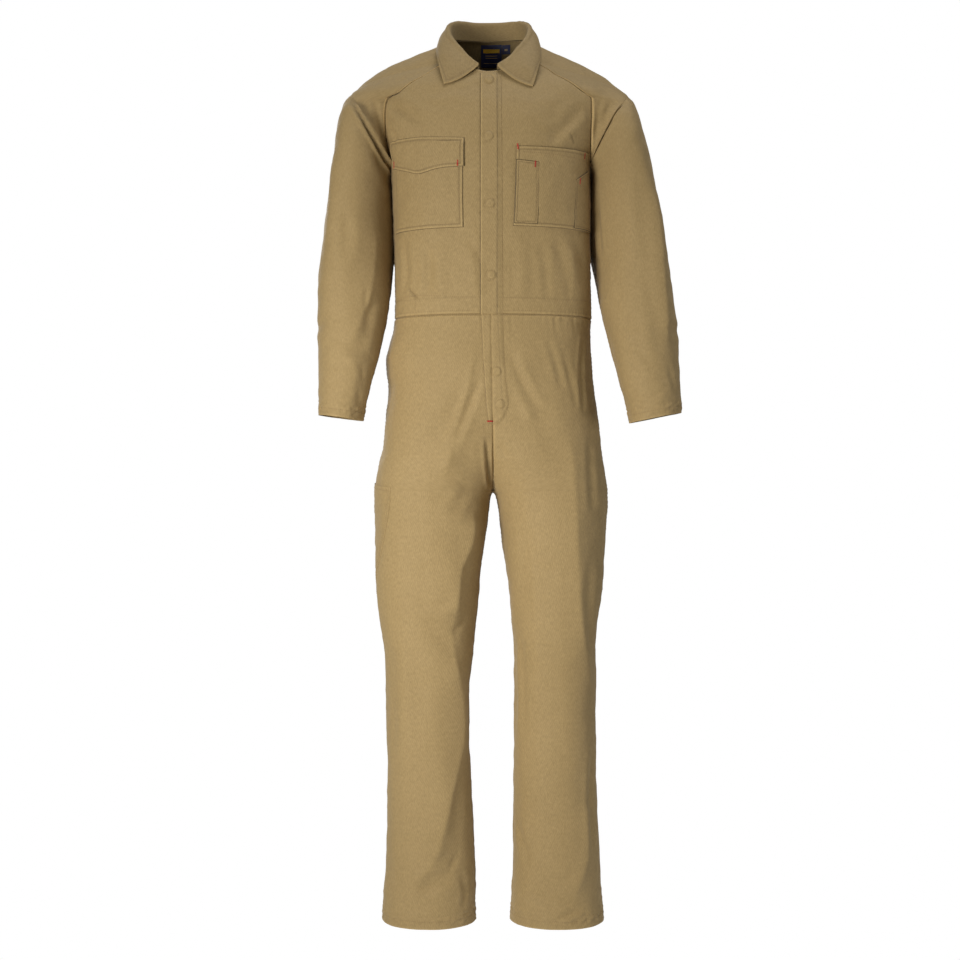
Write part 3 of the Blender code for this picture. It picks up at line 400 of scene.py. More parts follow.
def buildSkin(fine, legFine):
    # every main panel as a grid of middle points, with the same points along shared seams
    near = [d / 290 for d in seamNear]
    us = steps(1, cloth["quarter"] * fine, near + [1 - d for d in near])
    rows, arm = cloth["sideRows"], cloth["armRows"]
    vs = steps(rows + arm, fine, [d / 27.5 for d in seamNear] + [1.0, 1.06, 1.13, 1.2])
    top = cloth["waist"]
    levels = np.interp(steps(len(legLevels) - 1, legFine), np.arange(len(legLevels)), legLevels)
    extra = [top - d for d in seamNear] + [-1561 + d for d in (1.5, 4, 9, 14, 18, 21, 24, 27)]
    zs = np.unique(np.round(np.concatenate([levels, extra]), 4))[::-1]
    skin = {}
    for side, word in ((-1, "right"), (1, "left")):
        front, back = bodyPanel(side, "front", us, vs), bodyPanel(side, "back", us, vs)
        low = int(np.argmin(np.abs(vs - rows)))
        span = neck["backSeam"] - neck["frontSeam"]
        inner = steps(cloth["neckColumns"], fine)[1:-1]
        loop = list(front[low:, -1])
        loop += [neckPoint(side * (neck["frontSeam"] + span * i / cloth["neckColumns"])) for i in inner]
        loop += list(back[low:, -1][::-1][:-1])
        spots = list(vs[low:] - rows) + list(arm + inner)
        spots += list(arm + cloth["neckColumns"] + (rows + arm - vs[low:])[::-1][:-1])
        skin["front_" + word] = front
        skin["half_back_" + word] = back
        skin["sleeve_" + word] = sleevePanel(side, np.array(loop), np.array(spots), fine)
        for face in ("front", "back"):
            skin["leg_%s_%s" % (face, word)] = easeCrotch(legPanel(side, face, us, zs), zs, us)
    right, left = skin.pop("half_back_right"), skin.pop("half_back_left")
    skin["back"] = np.concatenate([right[:, ::-1], left[:, 1:]], axis=1)
    return skin


outward = {"front_right": -1, "front_left": 1, "back": -1, "sleeve_right": 1, "sleeve_left": -1,
           "leg_front_right": 1, "leg_front_left": -1, "leg_back_right": -1, "leg_back_left": 1}


def gridNormals(grid, around):
    ring = np.concatenate([grid, grid[:, :1]], axis=1) if around else grid
    n = np.cross(ring[1:, 1:] - ring[:-1, :-1], ring[1:, :-1] - ring[:-1, 1:])
    size = np.linalg.norm(n, axis=-1)[..., None] + 1e-9
    n = n / np.sqrt(size)
    full = np.zeros_like(ring)
    full[:-1, :-1] += n
    full[:-1, 1:] += n
    full[1:, 1:] += n
    full[1:, :-1] += n
    if around:
        full[:, 0] += full[:, -1]
        return full[:, :-1]
    return full


def sharedNormals(skin):
    names = list(skin)
    raw = [(gridNormals(skin[n], n.startswith("sleeve")) * outward[n]).reshape(-1, 3) for n in names]
    flat = np.concatenate([skin[n].reshape(-1, 3) for n in names])
    _, index = np.unique(np.round(flat * 200).astype(np.int64), axis=0, return_inverse=True)
    index = index.reshape(-1)
    sums = np.zeros((index.max() + 1, 3))
    np.add.at(sums, index, np.concatenate(raw))
    merged = sums[index]
    merged /= np.linalg.norm(merged, axis=1)[:, None] + 1e-12
    out, start = {}, 0
    for n in names:
        size = skin[n].shape[0] * skin[n].shape[1]
        out[n] = merged[start:start + size].reshape(skin[n].shape)
        start += size
    return out


def lineGap(points, line):
    # distance to a line of points, how far along it, and which side
    best = np.full(len(points), 1e9)
    share, hand = np.zeros(len(points)), np.zeros((len(points), 3))
    lengths = np.linalg.norm(np.diff(line, axis=0), axis=1)
    starts = np.concatenate([[0], np.cumsum(lengths)])
    for a, b, length, begun in zip(line[:-1], line[1:], lengths, starts):
        run = (b - a) / (length + 1e-9)
        t = np.clip((points - a) @ run, 0, length)
        away = points - a - t[:, None] * run
        gap = np.linalg.norm(away, axis=1)
        closer = gap < best
        best = np.where(closer, gap, best)
        share = np.where(closer, (begun + t) / starts[-1], share)
        hand[closer] = np.cross(np.broadcast_to(run, points.shape), away)[closer]
    return best, share, hand


def largeFolds(points):
    total = np.zeros(len(points))
    for i in range(len(foldRows["wide"])):
        line = np.array([[foldRows[k + e][i] for k in "xyz"] for e in "12"], float)
        gap, t, _ = lineGap(points, line)
        swell = foldRows["high"][i] * bell(gap, foldRows["wide"][i])
        total += swell * (1 - 0.5 * (2 * t - 1) ** 4)
    return total


def edgeGaps(grid, around):
    # how far each point is from the panel's four edges, and how far along it is each way
    across = np.linalg.norm(np.diff(grid, axis=1), axis=2)
    downs = np.linalg.norm(np.diff(grid, axis=0), axis=2)
    fromFirst = np.concatenate([np.zeros((len(grid), 1)), np.cumsum(across, axis=1)], axis=1)
    fromLow = np.concatenate([np.zeros((1, grid.shape[1])), np.cumsum(downs, axis=0)], axis=0)
    width = fromFirst[:, -1:]
    if around:
        width = width + np.linalg.norm(grid[:, :1] - grid[:, -1:], axis=2)
    return {"first": fromFirst, "last": width - fromFirst, "low": fromLow, "high": fromLow[-1:] - fromLow}


def noiseAt(points, size, seed):
    # soft unevenness about one high, with lumps of the given size
    rng = np.random.default_rng(seed)
    total = np.zeros(len(points))
    for _ in range(14):
        way = rng.normal(size=3)
        way /= np.linalg.norm(way)
        total += np.sin(points @ way * (2 * math.pi / (size * rng.uniform(0.7, 1.5))) + rng.uniform(0, 6.28))
    return total / 2.6


# every seam: its groove, the swell of its turnings, its puckers, and how strong its painted highlight and
# painted shade bands are
seamForm = {"groove": 1.5, "swell": 0.4, "swellAt": 5.2, "pucker": 0.3, "puckerLong": 8.5, "paintedHighlight": 1.5,
            "paintedShade": 4.4}


def seamShape(gap, run, seed):
    # the groove of a seam, the swell of its turnings beside it, and small puckers
    soft = bell(gap, 7, 4)
    waves = np.sin(2 * math.pi * run / seamForm["puckerLong"] + 2.2 * np.sin(run / 19 + seed))
    return (-seamForm["groove"] * bell(gap, 1.4) + seamForm["swell"] * bell(gap, 3.2, seamForm["swellAt"])
            + seamForm["pucker"] * waves * soft * (1 - bell(gap, 1.5)))


# turned-up hem: how deep, how far it stands out, its stitch line and its pull, and how strongly it ropes
hem = {"deep": 26.0, "rise": 0.8, "stitch": 22.0, "pull": 0.8, "roping": 0.5}


class Surface:
    # the outer face of the cloth, with smooth normals, for pieces that lie on it

    def __init__(self, parts):
        verts, faces, norms, start = [], [], [], 0
        for grid, normals, around in parts:
            rows, cols = grid.shape[:2]
            i = np.arange(rows - 1)[:, None]
            j = np.arange(cols if around else cols - 1)[None, :]
            k = (j + 1) % cols
            quads = np.stack([i * cols + j, i * cols + k, (i + 1) * cols + k, (i + 1) * cols + j], axis=-1)
            faces.append(quads.reshape(-1, 4) + start)
            verts.append(grid.reshape(-1, 3))
            norms.append(normals.reshape(-1, 3))
            start += rows * cols
        self.verts, self.norms = np.concatenate(verts), np.concatenate(norms)
        self.faces = np.concatenate(faces)
        self.tree = BVHTree.FromPolygons(self.verts.tolist(), self.faces.tolist())

    def at(self, hit, index):
        ids = self.faces[index]
        hit = np.array(hit)
        weight = 1 / (np.sum((self.verts[ids] - hit) ** 2, axis=1) + 0.02)
        n = weight @ self.norms[ids]
        return hit, n / np.linalg.norm(n)

    def cast(self, start, aim):
        start, aim = Vector(start), Vector(aim)
        hit, _, index, _ = self.tree.ray_cast(start, aim)
        if hit is None:  # just past an edge: the nearest cloth to the line's passing place
            hit, _, index, _ = self.tree.find_nearest(start + aim * (start.dot(aim) * -1))
        return self.at(hit, index)

    def place(self, kind, across, z):
        # the cloth met from one side or from inside; else from all round a middle line, across in degrees
        straight = {"front": ((across, -600, z), (0, 1, 0)), "rear": ((across, 600, z), (0, -1, 0)),
                    "outRight": ((-600, across, z), (1, 0, 0)), "outLeft": ((600, across, z), (-1, 0, 0)),
                    "inside": ((across, 0, z), (0, 1, 0))}
        if kind in straight:
            return self.cast(*straight[kind])
        centre = {"body": (-4, 0), "legRight": (-115, 5)}[kind]
        a = math.radians(across)
        aim = (math.sin(a), -math.cos(a), 0)
        return self.cast((centre[0] + aim[0] * 420, centre[1] + aim[1] * 420, z), (-aim[0], -aim[1], 0))

    def grid(self, kind, across, zs):
        spots = [[self.place(kind, float(a), float(z)) for a, z in zip(la, lz)] for la, lz in zip(across, zs)]
        points, outs = ([[spot[i] for spot in line] for line in spots] for i in (0, 1))
        return np.array(points), np.array(outs)


def smoothNormals(normals, times):
    for _ in range(times):
        padded = np.pad(normals, ((1, 1), (1, 1), (0, 0)), mode="edge")
        normals = sum(padded[1 + a:padded.shape[0] - 1 + a, 1 + b:padded.shape[1] - 1 + b]
                      for a, b in ((0, 0), (1, 0), (-1, 0), (0, 1), (0, -1)))
        normals = normals / np.linalg.norm(normals, axis=-1)[..., None]
    return normals


def addShell(name, outer, inner, paint, around=False, skip=1):
    # closed cloth: an outer face, an inner one with fewer points, and a wall round every edge
    rows, cols = outer.shape[:2]
    size = rows * cols
    some = [np.unique(np.append(np.arange(0, n, skip), n - 1)) for n in (rows, cols)]
    if around:
        some[1] = np.arange(0, cols, skip)

    def cells(ids):
        ring = np.concatenate([ids, ids[:, :1]], axis=1) if around else ids
        return np.stack([ring[:-1, :-1], ring[:-1, 1:], ring[1:, 1:], ring[1:, :-1]], axis=-1).reshape(-1, 4)

    ids = np.arange(size).reshape(rows, cols)
    kept = ids[np.ix_(*some)]
    number = np.full(size, -1)
    number[kept.reshape(-1)] = size + np.arange(kept.size)
    quads, back = cells(ids), cells(kept)
    middle = outer.reshape(-1, 3)[quads[:, :3]]
    cell = np.cross(middle[:, 1] - middle[:, 0], middle[:, 2] - middle[:, 0])
    turned = np.sum(cell * (outer - inner).reshape(-1, 3)[quads[:, 0]]) < 0
    if turned:
        quads, back = quads[:, ::-1], back[:, ::-1]
    if around:
        loops = [np.append(ids[0], ids[0, 0]), np.append(ids[-1], ids[-1, 0])[::-1]]
    else:
        loops = [np.concatenate([ids[0], ids[1:, -1], ids[-1, ::-1][1:], ids[::-1, 0][1:]])]
    walls, rims = [], set()
    for loop in loops:
        stops = [i for i, v in enumerate(loop) if number[v] >= 0]
        for a, b in zip(stops[:-1], stops[1:]):
            wall = loop[a:b + 1][::-1].tolist() + [int(number[loop[a]]), int(number[loop[b]])]
            walls.append(wall[::-1] if turned else wall)
            rims.add(tuple(sorted(wall[-2:])))
        rims.update(tuple(sorted(pair)) for pair in zip(loop[:-1].tolist(), loop[1:].tolist()))
    faces = quads.tolist() + number[back[:, ::-1]].tolist() + walls
    verts = np.concatenate([outer.reshape(-1, 3), inner.reshape(-1, 3)[kept.reshape(-1)]]) * mm
    gaps = edgeGaps(outer, around)
    flat = np.stack([gaps["first"], gaps["low"]], axis=-1).reshape(-1, 2) * mm
    mesh = bpy.data.meshes.new(name)
    mesh.from_pydata(verts.tolist(), [], faces)
    layer = mesh.uv_layers.new(name="cut")
    corner = np.concatenate([flat, flat[kept.reshape(-1)]])[np.concatenate([np.array(f) for f in faces])]
    if around:
        width = float((gaps["first"] + gaps["last"])[:, 0].mean()) * mm
        begins = np.cumsum([0] + [len(f) for f in faces])
        wide = np.maximum.reduceat(corner[:, 0], begins[:-1])
        wide = np.repeat(wide, np.diff(begins))
        corner[:, 0] = np.where(wide - corner[:, 0] > 0.05, width, corner[:, 0])
    layer.data.foreach_set("uv", corner.reshape(-1).astype(np.float32))
    mesh.materials.append(paint)
    mesh.shade_smooth()
    mesh.update()
    piece = bpy.data.objects.new(name, mesh)
    bpy.context.scene.collection.objects.link(piece)
    sharp = mesh.attributes.new("sharp_edge", "BOOLEAN", "EDGE")
    ends = np.zeros(len(mesh.edges) * 2, int)
    mesh.edges.foreach_get("vertices", ends)
    ends = np.sort(ends.reshape(-1, 2), axis=1)
    sharp.data.foreach_set("value", np.array([(a, b) in rims for a, b in ends.tolist()]))
    return piece


def setPaintedLight(piece, outerPaintedLight, share=0.3):
    # painted highlight and shade bands along edges; the inner face has fewer points, so it gets one low value
    values = np.full(len(piece.data.vertices), float(outerPaintedLight.min()) * share)
    values[:outerPaintedLight.size] = outerPaintedLight.reshape(-1)
    piece.data.attributes.new("wear", "FLOAT", "POINT").data.foreach_set("value", values.astype(np.float32))


def keep(piece, node):
    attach(piece, "root")
    if node:
        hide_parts(node)


def colour(code):
    # sRGB hex to the linear colour that the shader wants
    parts = [int(code[i:i + 2], 16) / 255 for i in (1, 3, 5)]
    return tuple(p / 12.92 if p <= 0.04045 else ((p + 0.055) / 1.055) ** 2.4 for p in parts) + (1.0,)


def addNode(tree, kind, settings=None, links=None):
    node = tree.nodes.new(kind)
    for key, value in (settings or {}).items():
        if isinstance(key, str) and hasattr(node, key):
            setattr(node, key, value)
        else:
            node.inputs[key].default_value = value
    for key, source in (links or {}).items():
        tree.links.new(source, node.inputs[key])
    return node


def newMaterial(name):
    made = bpy.data.materials.new(name)
    made.use_nodes = True
    tree = made.node_tree
    return made, tree, tree.nodes["Principled BSDF"]


def setShader(shader, values):
    for key, value in values.items():
        shader.inputs[key].default_value = value


def calc(tree, operation, settings, links):
    return addNode(tree, "ShaderNodeMath", {"operation": operation, **settings}, links).outputs[0]


def unevenness(tree, where, scale, detail, rough=0.5):
    settings = {"Scale": scale, "Detail": detail, "Roughness": rough}
    return addNode(tree, "ShaderNodeTexNoise", settings, {"Vector": where}).outputs["Fac"]


def stretch(tree, value, fromLow, fromHigh, toLow, toHigh):
    settings = {"From Min": fromLow, "From Max": fromHigh, "To Min": toLow, "To Max": toHigh}
    return addNode(tree, "ShaderNodeMapRange", settings, {"Value": value}).outputs["Result"]


def blend(tree, share, first, second):
    # two colours mixed; each is a hex code or a socket
    node = addNode(tree, "ShaderNodeMix", {"data_type": "RGBA"}, {0: share})
    for index, source in ((6, first), (7, second)):
        if isinstance(source, str):
            node.inputs[index].default_value = colour(source)
        else:
            tree.links.new(source, node.inputs[index])
    return node.outputs[2]


drill = {"light": "#A98F60", "middle": "#9C8355", "deep": "#846C41", "twillPitch": 0.0034, "yarnWide": 0.0026,
         "rough": 0.74, "sheen": 0.16, "twillDepth": 0.22}


def cottonDrill(name, shade=1.0):
    # khaki cotton drill: matt, softly mottled, with a steep diagonal rib
    made, tree, shader = newMaterial(name)
    place = addNode(tree, "ShaderNodeTexCoord").outputs["Object"]
    cut = addNode(tree, "ShaderNodeUVMap", {"uv_map": "cut"}).outputs["UV"]
    # slubs run with the warp, so their noise is stretched a little along the cut's length
    warp = addNode(tree, "ShaderNodeMapping",
                   {"Scale": (1 / drill["yarnWide"], 0.45 / drill["yarnWide"], 1.0)}, {"Vector": cut})
    yarn = unevenness(tree, warp.outputs["Vector"], 1.0, 2.0)
    # a drill's rib is about 0.6 mm apart; it is drawn at 3.4 mm so that it can show at all
    rib = addNode(tree, "ShaderNodeMapping", {"Rotation": (0, 0, math.radians(-27)),
                                              "Scale": (1 / drill["twillPitch"],) * 3}, {"Vector": cut})
    twill = addNode(tree, "ShaderNodeTexWave", {"bands_direction": "X", "wave_profile": "SIN", "Scale": 0.314,
                                                "Distortion": 0.7, "Detail": 1.0, "Detail Scale": 2.0},
                    {"Vector": rib.outputs["Vector"]}).outputs["Fac"]
    tone = blend(tree, unevenness(tree, place, 7.0, 3.0, 0.55), drill["middle"], drill["light"])
    patchy = stretch(tree, unevenness(tree, place, 150.0, 4.0, 0.6), 0.35, 0.75, 0, 0.3)
    mottle = blend(tree, patchy, tone, drill["deep"])
    streak = stretch(tree, yarn, 0.3, 0.7, 0.87, 1.06)
    # the painted highlight and shade bands stored on the mesh lighten and darken the colour
    paintedLightFac = addNode(tree, "ShaderNodeAttribute", {"attribute_name": "wear"}).outputs["Fac"]
    ribbed = calc(tree, "MULTIPLY_ADD", {1: 0.09}, {0: twill, 2: streak})
    lift = calc(tree, "MULTIPLY_ADD", {1: 0.16}, {0: paintedLightFac, 2: ribbed})
    even = calc(tree, "MULTIPLY", {1: shade}, {0: lift})
    final = addNode(tree, "ShaderNodeVectorMath", {"operation": "SCALE"}, {0: mottle, "Scale": even})
    slub = calc(tree, "MULTIPLY_ADD", {1: 0.6}, {0: yarn, 2: twill})
    bump = addNode(tree, "ShaderNodeBump", {"Strength": 0.45, "Distance": drill["twillDepth"] * mm},
                   {"Height": slub})
    crumple = addNode(tree, "ShaderNodeBump", {"Strength": 0.45, "Distance": 0.0006},
                      {"Height": unevenness(tree, place, 260.0, 3.0), "Normal": bump.outputs["Normal"]})
    tree.links.new(final.outputs[0], shader.inputs["Base Color"])
    tree.links.new(crumple.outputs["Normal"], shader.inputs["Normal"])
    setShader(shader, {"Roughness": drill["rough"], "Specular IOR Level": 0.35, "Sheen Roughness": 0.55,
                       "Sheen Weight": drill["sheen"], "Sheen Tint": colour("#EFE6D2")})
    return made


def spunThread(name, code):
    # spun sewing thread: a dull gleam along a tight twist
    made, tree, shader = newMaterial(name)
    place = addNode(tree, "ShaderNodeTexCoord").outputs["Object"]
    tone = stretch(tree, unevenness(tree, place, 900.0, 2.0), 0, 1, 0.8, 1.12)
    final = addNode(tree, "ShaderNodeVectorMath", {"operation": "SCALE", 0: colour(code)[:3]},
                    {"Scale": tone})
    tree.links.new(final.outputs[0], shader.inputs["Base Color"])
    setShader(shader, {"Roughness": 0.7, "Sheen Weight": 0.1})
    return made


def wovenLabel(name, bands):
    # woven label: satin ground, coloured picks in level bands
    made, tree, shader = newMaterial(name)
    cut = addNode(tree, "ShaderNodeUVMap", {"uv_map": "cut"}).outputs["UV"]
    split = addNode(tree, "ShaderNodeSeparateXYZ", {}, {0: cut}).outputs
    picks = addNode(tree, "ShaderNodeTexWave", {"bands_direction": "Y", "Scale": 160.0}, {"Vector": cut})
    ground = blend(tree, picks.outputs["Fac"], "#1B1F45", "#262B58")
    for code, low, high, left, right in bands:
        inside = calc(tree, "GREATER_THAN", {1: low * mm}, {0: split["Y"]})
        for way, level, axis in (("LESS_THAN", high, "Y"), ("GREATER_THAN", left, "X"),
                                 ("LESS_THAN", right, "X")):
            other = calc(tree, way, {1: level * mm}, {0: split[axis]})
            inside = calc(tree, "MULTIPLY", {}, {0: inside, 1: other})
        ground = blend(tree, inside, ground, code)
    bump = addNode(tree, "ShaderNodeBump", {"Strength": 0.3, "Distance": 0.0001},
                   {"Height": picks.outputs["Fac"]})
    tree.links.new(ground, shader.inputs["Base Color"])
    tree.links.new(bump.outputs["Normal"], shader.inputs["Normal"])
    setShader(shader, {"Roughness": 0.55})
    return made


def platedBrass(name):
    # plated press stud: a soft satin shine
    made, tree, shader = newMaterial(name)
    grain = unevenness(tree, addNode(tree, "ShaderNodeTexCoord").outputs["Object"], 400.0, 3.0)
    tree.links.new(blend(tree, grain, "#B9B4A8", "#D0CCC2"), shader.inputs["Base Color"])
    tree.links.new(stretch(tree, grain, 0, 1, 0.28, 0.42), shader.inputs["Roughness"])
    setShader(shader, {"Metallic": 1.0})
    return made


# camera, light and floor
scene = bpy.context.scene
lens = bpy.data.cameras.new("camera")
lens.lens, lens.sensor_width = view["lens"], 36
camera = bpy.data.objects.new("camera", lens)
camera.location = view["place"]
camera.rotation_euler = (math.radians(90), 0, 0)
scene.collection.objects.link(camera)
scene.camera = camera

studio = {"key": 13.6, "fill": 21.0, "top": 9.5, "rear": 58.0, "sky": 0.1, "ground": 1.0, "glow": 0.28,
          "floorWide": 1.7, "floorLow": -2.17, "floorSides": 96}
for name, power, size, spread, place, aim in (
        ("key light", studio["key"], 0.8, 95, (-1.2, -1.85, -0.72), (0, 0, -0.9)),
        ("fill light", studio["fill"], 1.5, 180, (3.0, -1.15, -0.8), (0, 0, -0.7)),
        ("top light", studio["top"], 1.2, 120, (0.35, -0.3, 1.7), (0, 0, -0.2)),
        ("rear light", studio["rear"], 1.8, 180, (-1.4, 3.0, 0.6), (0, 0, -0.7))):
    light = bpy.data.lights.new(name, "AREA")
    light.energy, light.size, light.spread = power, size, math.radians(spread)
    lamp = bpy.data.objects.new(name, light)
    lamp.location = place
    lamp.rotation_euler = (Vector(aim) - Vector(place)).to_track_quat("-Z", "Y").to_euler()
    lamp.visible_camera = False
    scene.collection.objects.link(lamp)
world = bpy.data.worlds.new("studio")
world.use_nodes = True
sky = world.node_tree.nodes["Background"]
sky.inputs["Strength"].default_value = studio["sky"]
sky.inputs["Color"].default_value = (1, 1, 1, 1)
bright = addNode(world.node_tree, "ShaderNodeBackground",
                 {"Color": (1, 1, 1, 1), "Strength": studio["ground"]})
seen = addNode(world.node_tree, "ShaderNodeLightPath")
both = addNode(world.node_tree, "ShaderNodeMixShader", {},
               {0: seen.outputs["Is Camera Ray"], 1: sky.outputs[0], 2: bright.outputs[0]})
world.node_tree.links.new(both.outputs[0], world.node_tree.nodes["World Output"].inputs["Surface"])
scene.world = world
scene.view_settings.view_transform = "Standard"

floorPaint, tree, shader = newMaterial("matt studio vinyl")
grain = unevenness(tree, addNode(tree, "ShaderNodeTexCoord").outputs["Object"], 3.0, 2.0)
tree.links.new(blend(tree, grain, "#F0F0EE", "#F5F5F3"), shader.inputs["Base Color"])
setShader(shader, {"Roughness": 0.9, "Emission Color": (1, 1, 1, 1), "Emission Strength": studio["glow"]})
turns = [math.radians(360 / studio["floorSides"] * i) for i in range(studio["floorSides"])]
reach = studio["floorWide"]
rim = [(reach * math.cos(a), reach * math.sin(a), studio["floorLow"]) for a in turns]
floorMesh = bpy.data.meshes.new("floor")
floorMesh.from_pydata(rim, [], [list(range(studio["floorSides"]))])
floorMesh.materials.append(floorPaint)
floor = bpy.data.objects.new("floor", floorMesh)
scene.collection.objects.link(floor)
print("stage set")

# the cloth panels
khaki = cottonDrill("cottonDrillKhaki")
collarKhaki = cottonDrill("cottonDrillCollar", 0.9)  # the collar looks a shade darker than the panels
skin = buildSkin(cloth["fine"], cloth["legFine"])
normals = sharedNormals(skin)
print("skin", sum(g.shape[0] * g.shape[1] for g in skin.values()), "points")
plainBody = Surface([(skin[n], normals[n], False) for n in skin if not n.startswith("sleeve")])
plainSleeves = Surface([(skin[n], normals[n], True) for n in skin if n.startswith("sleeve")])

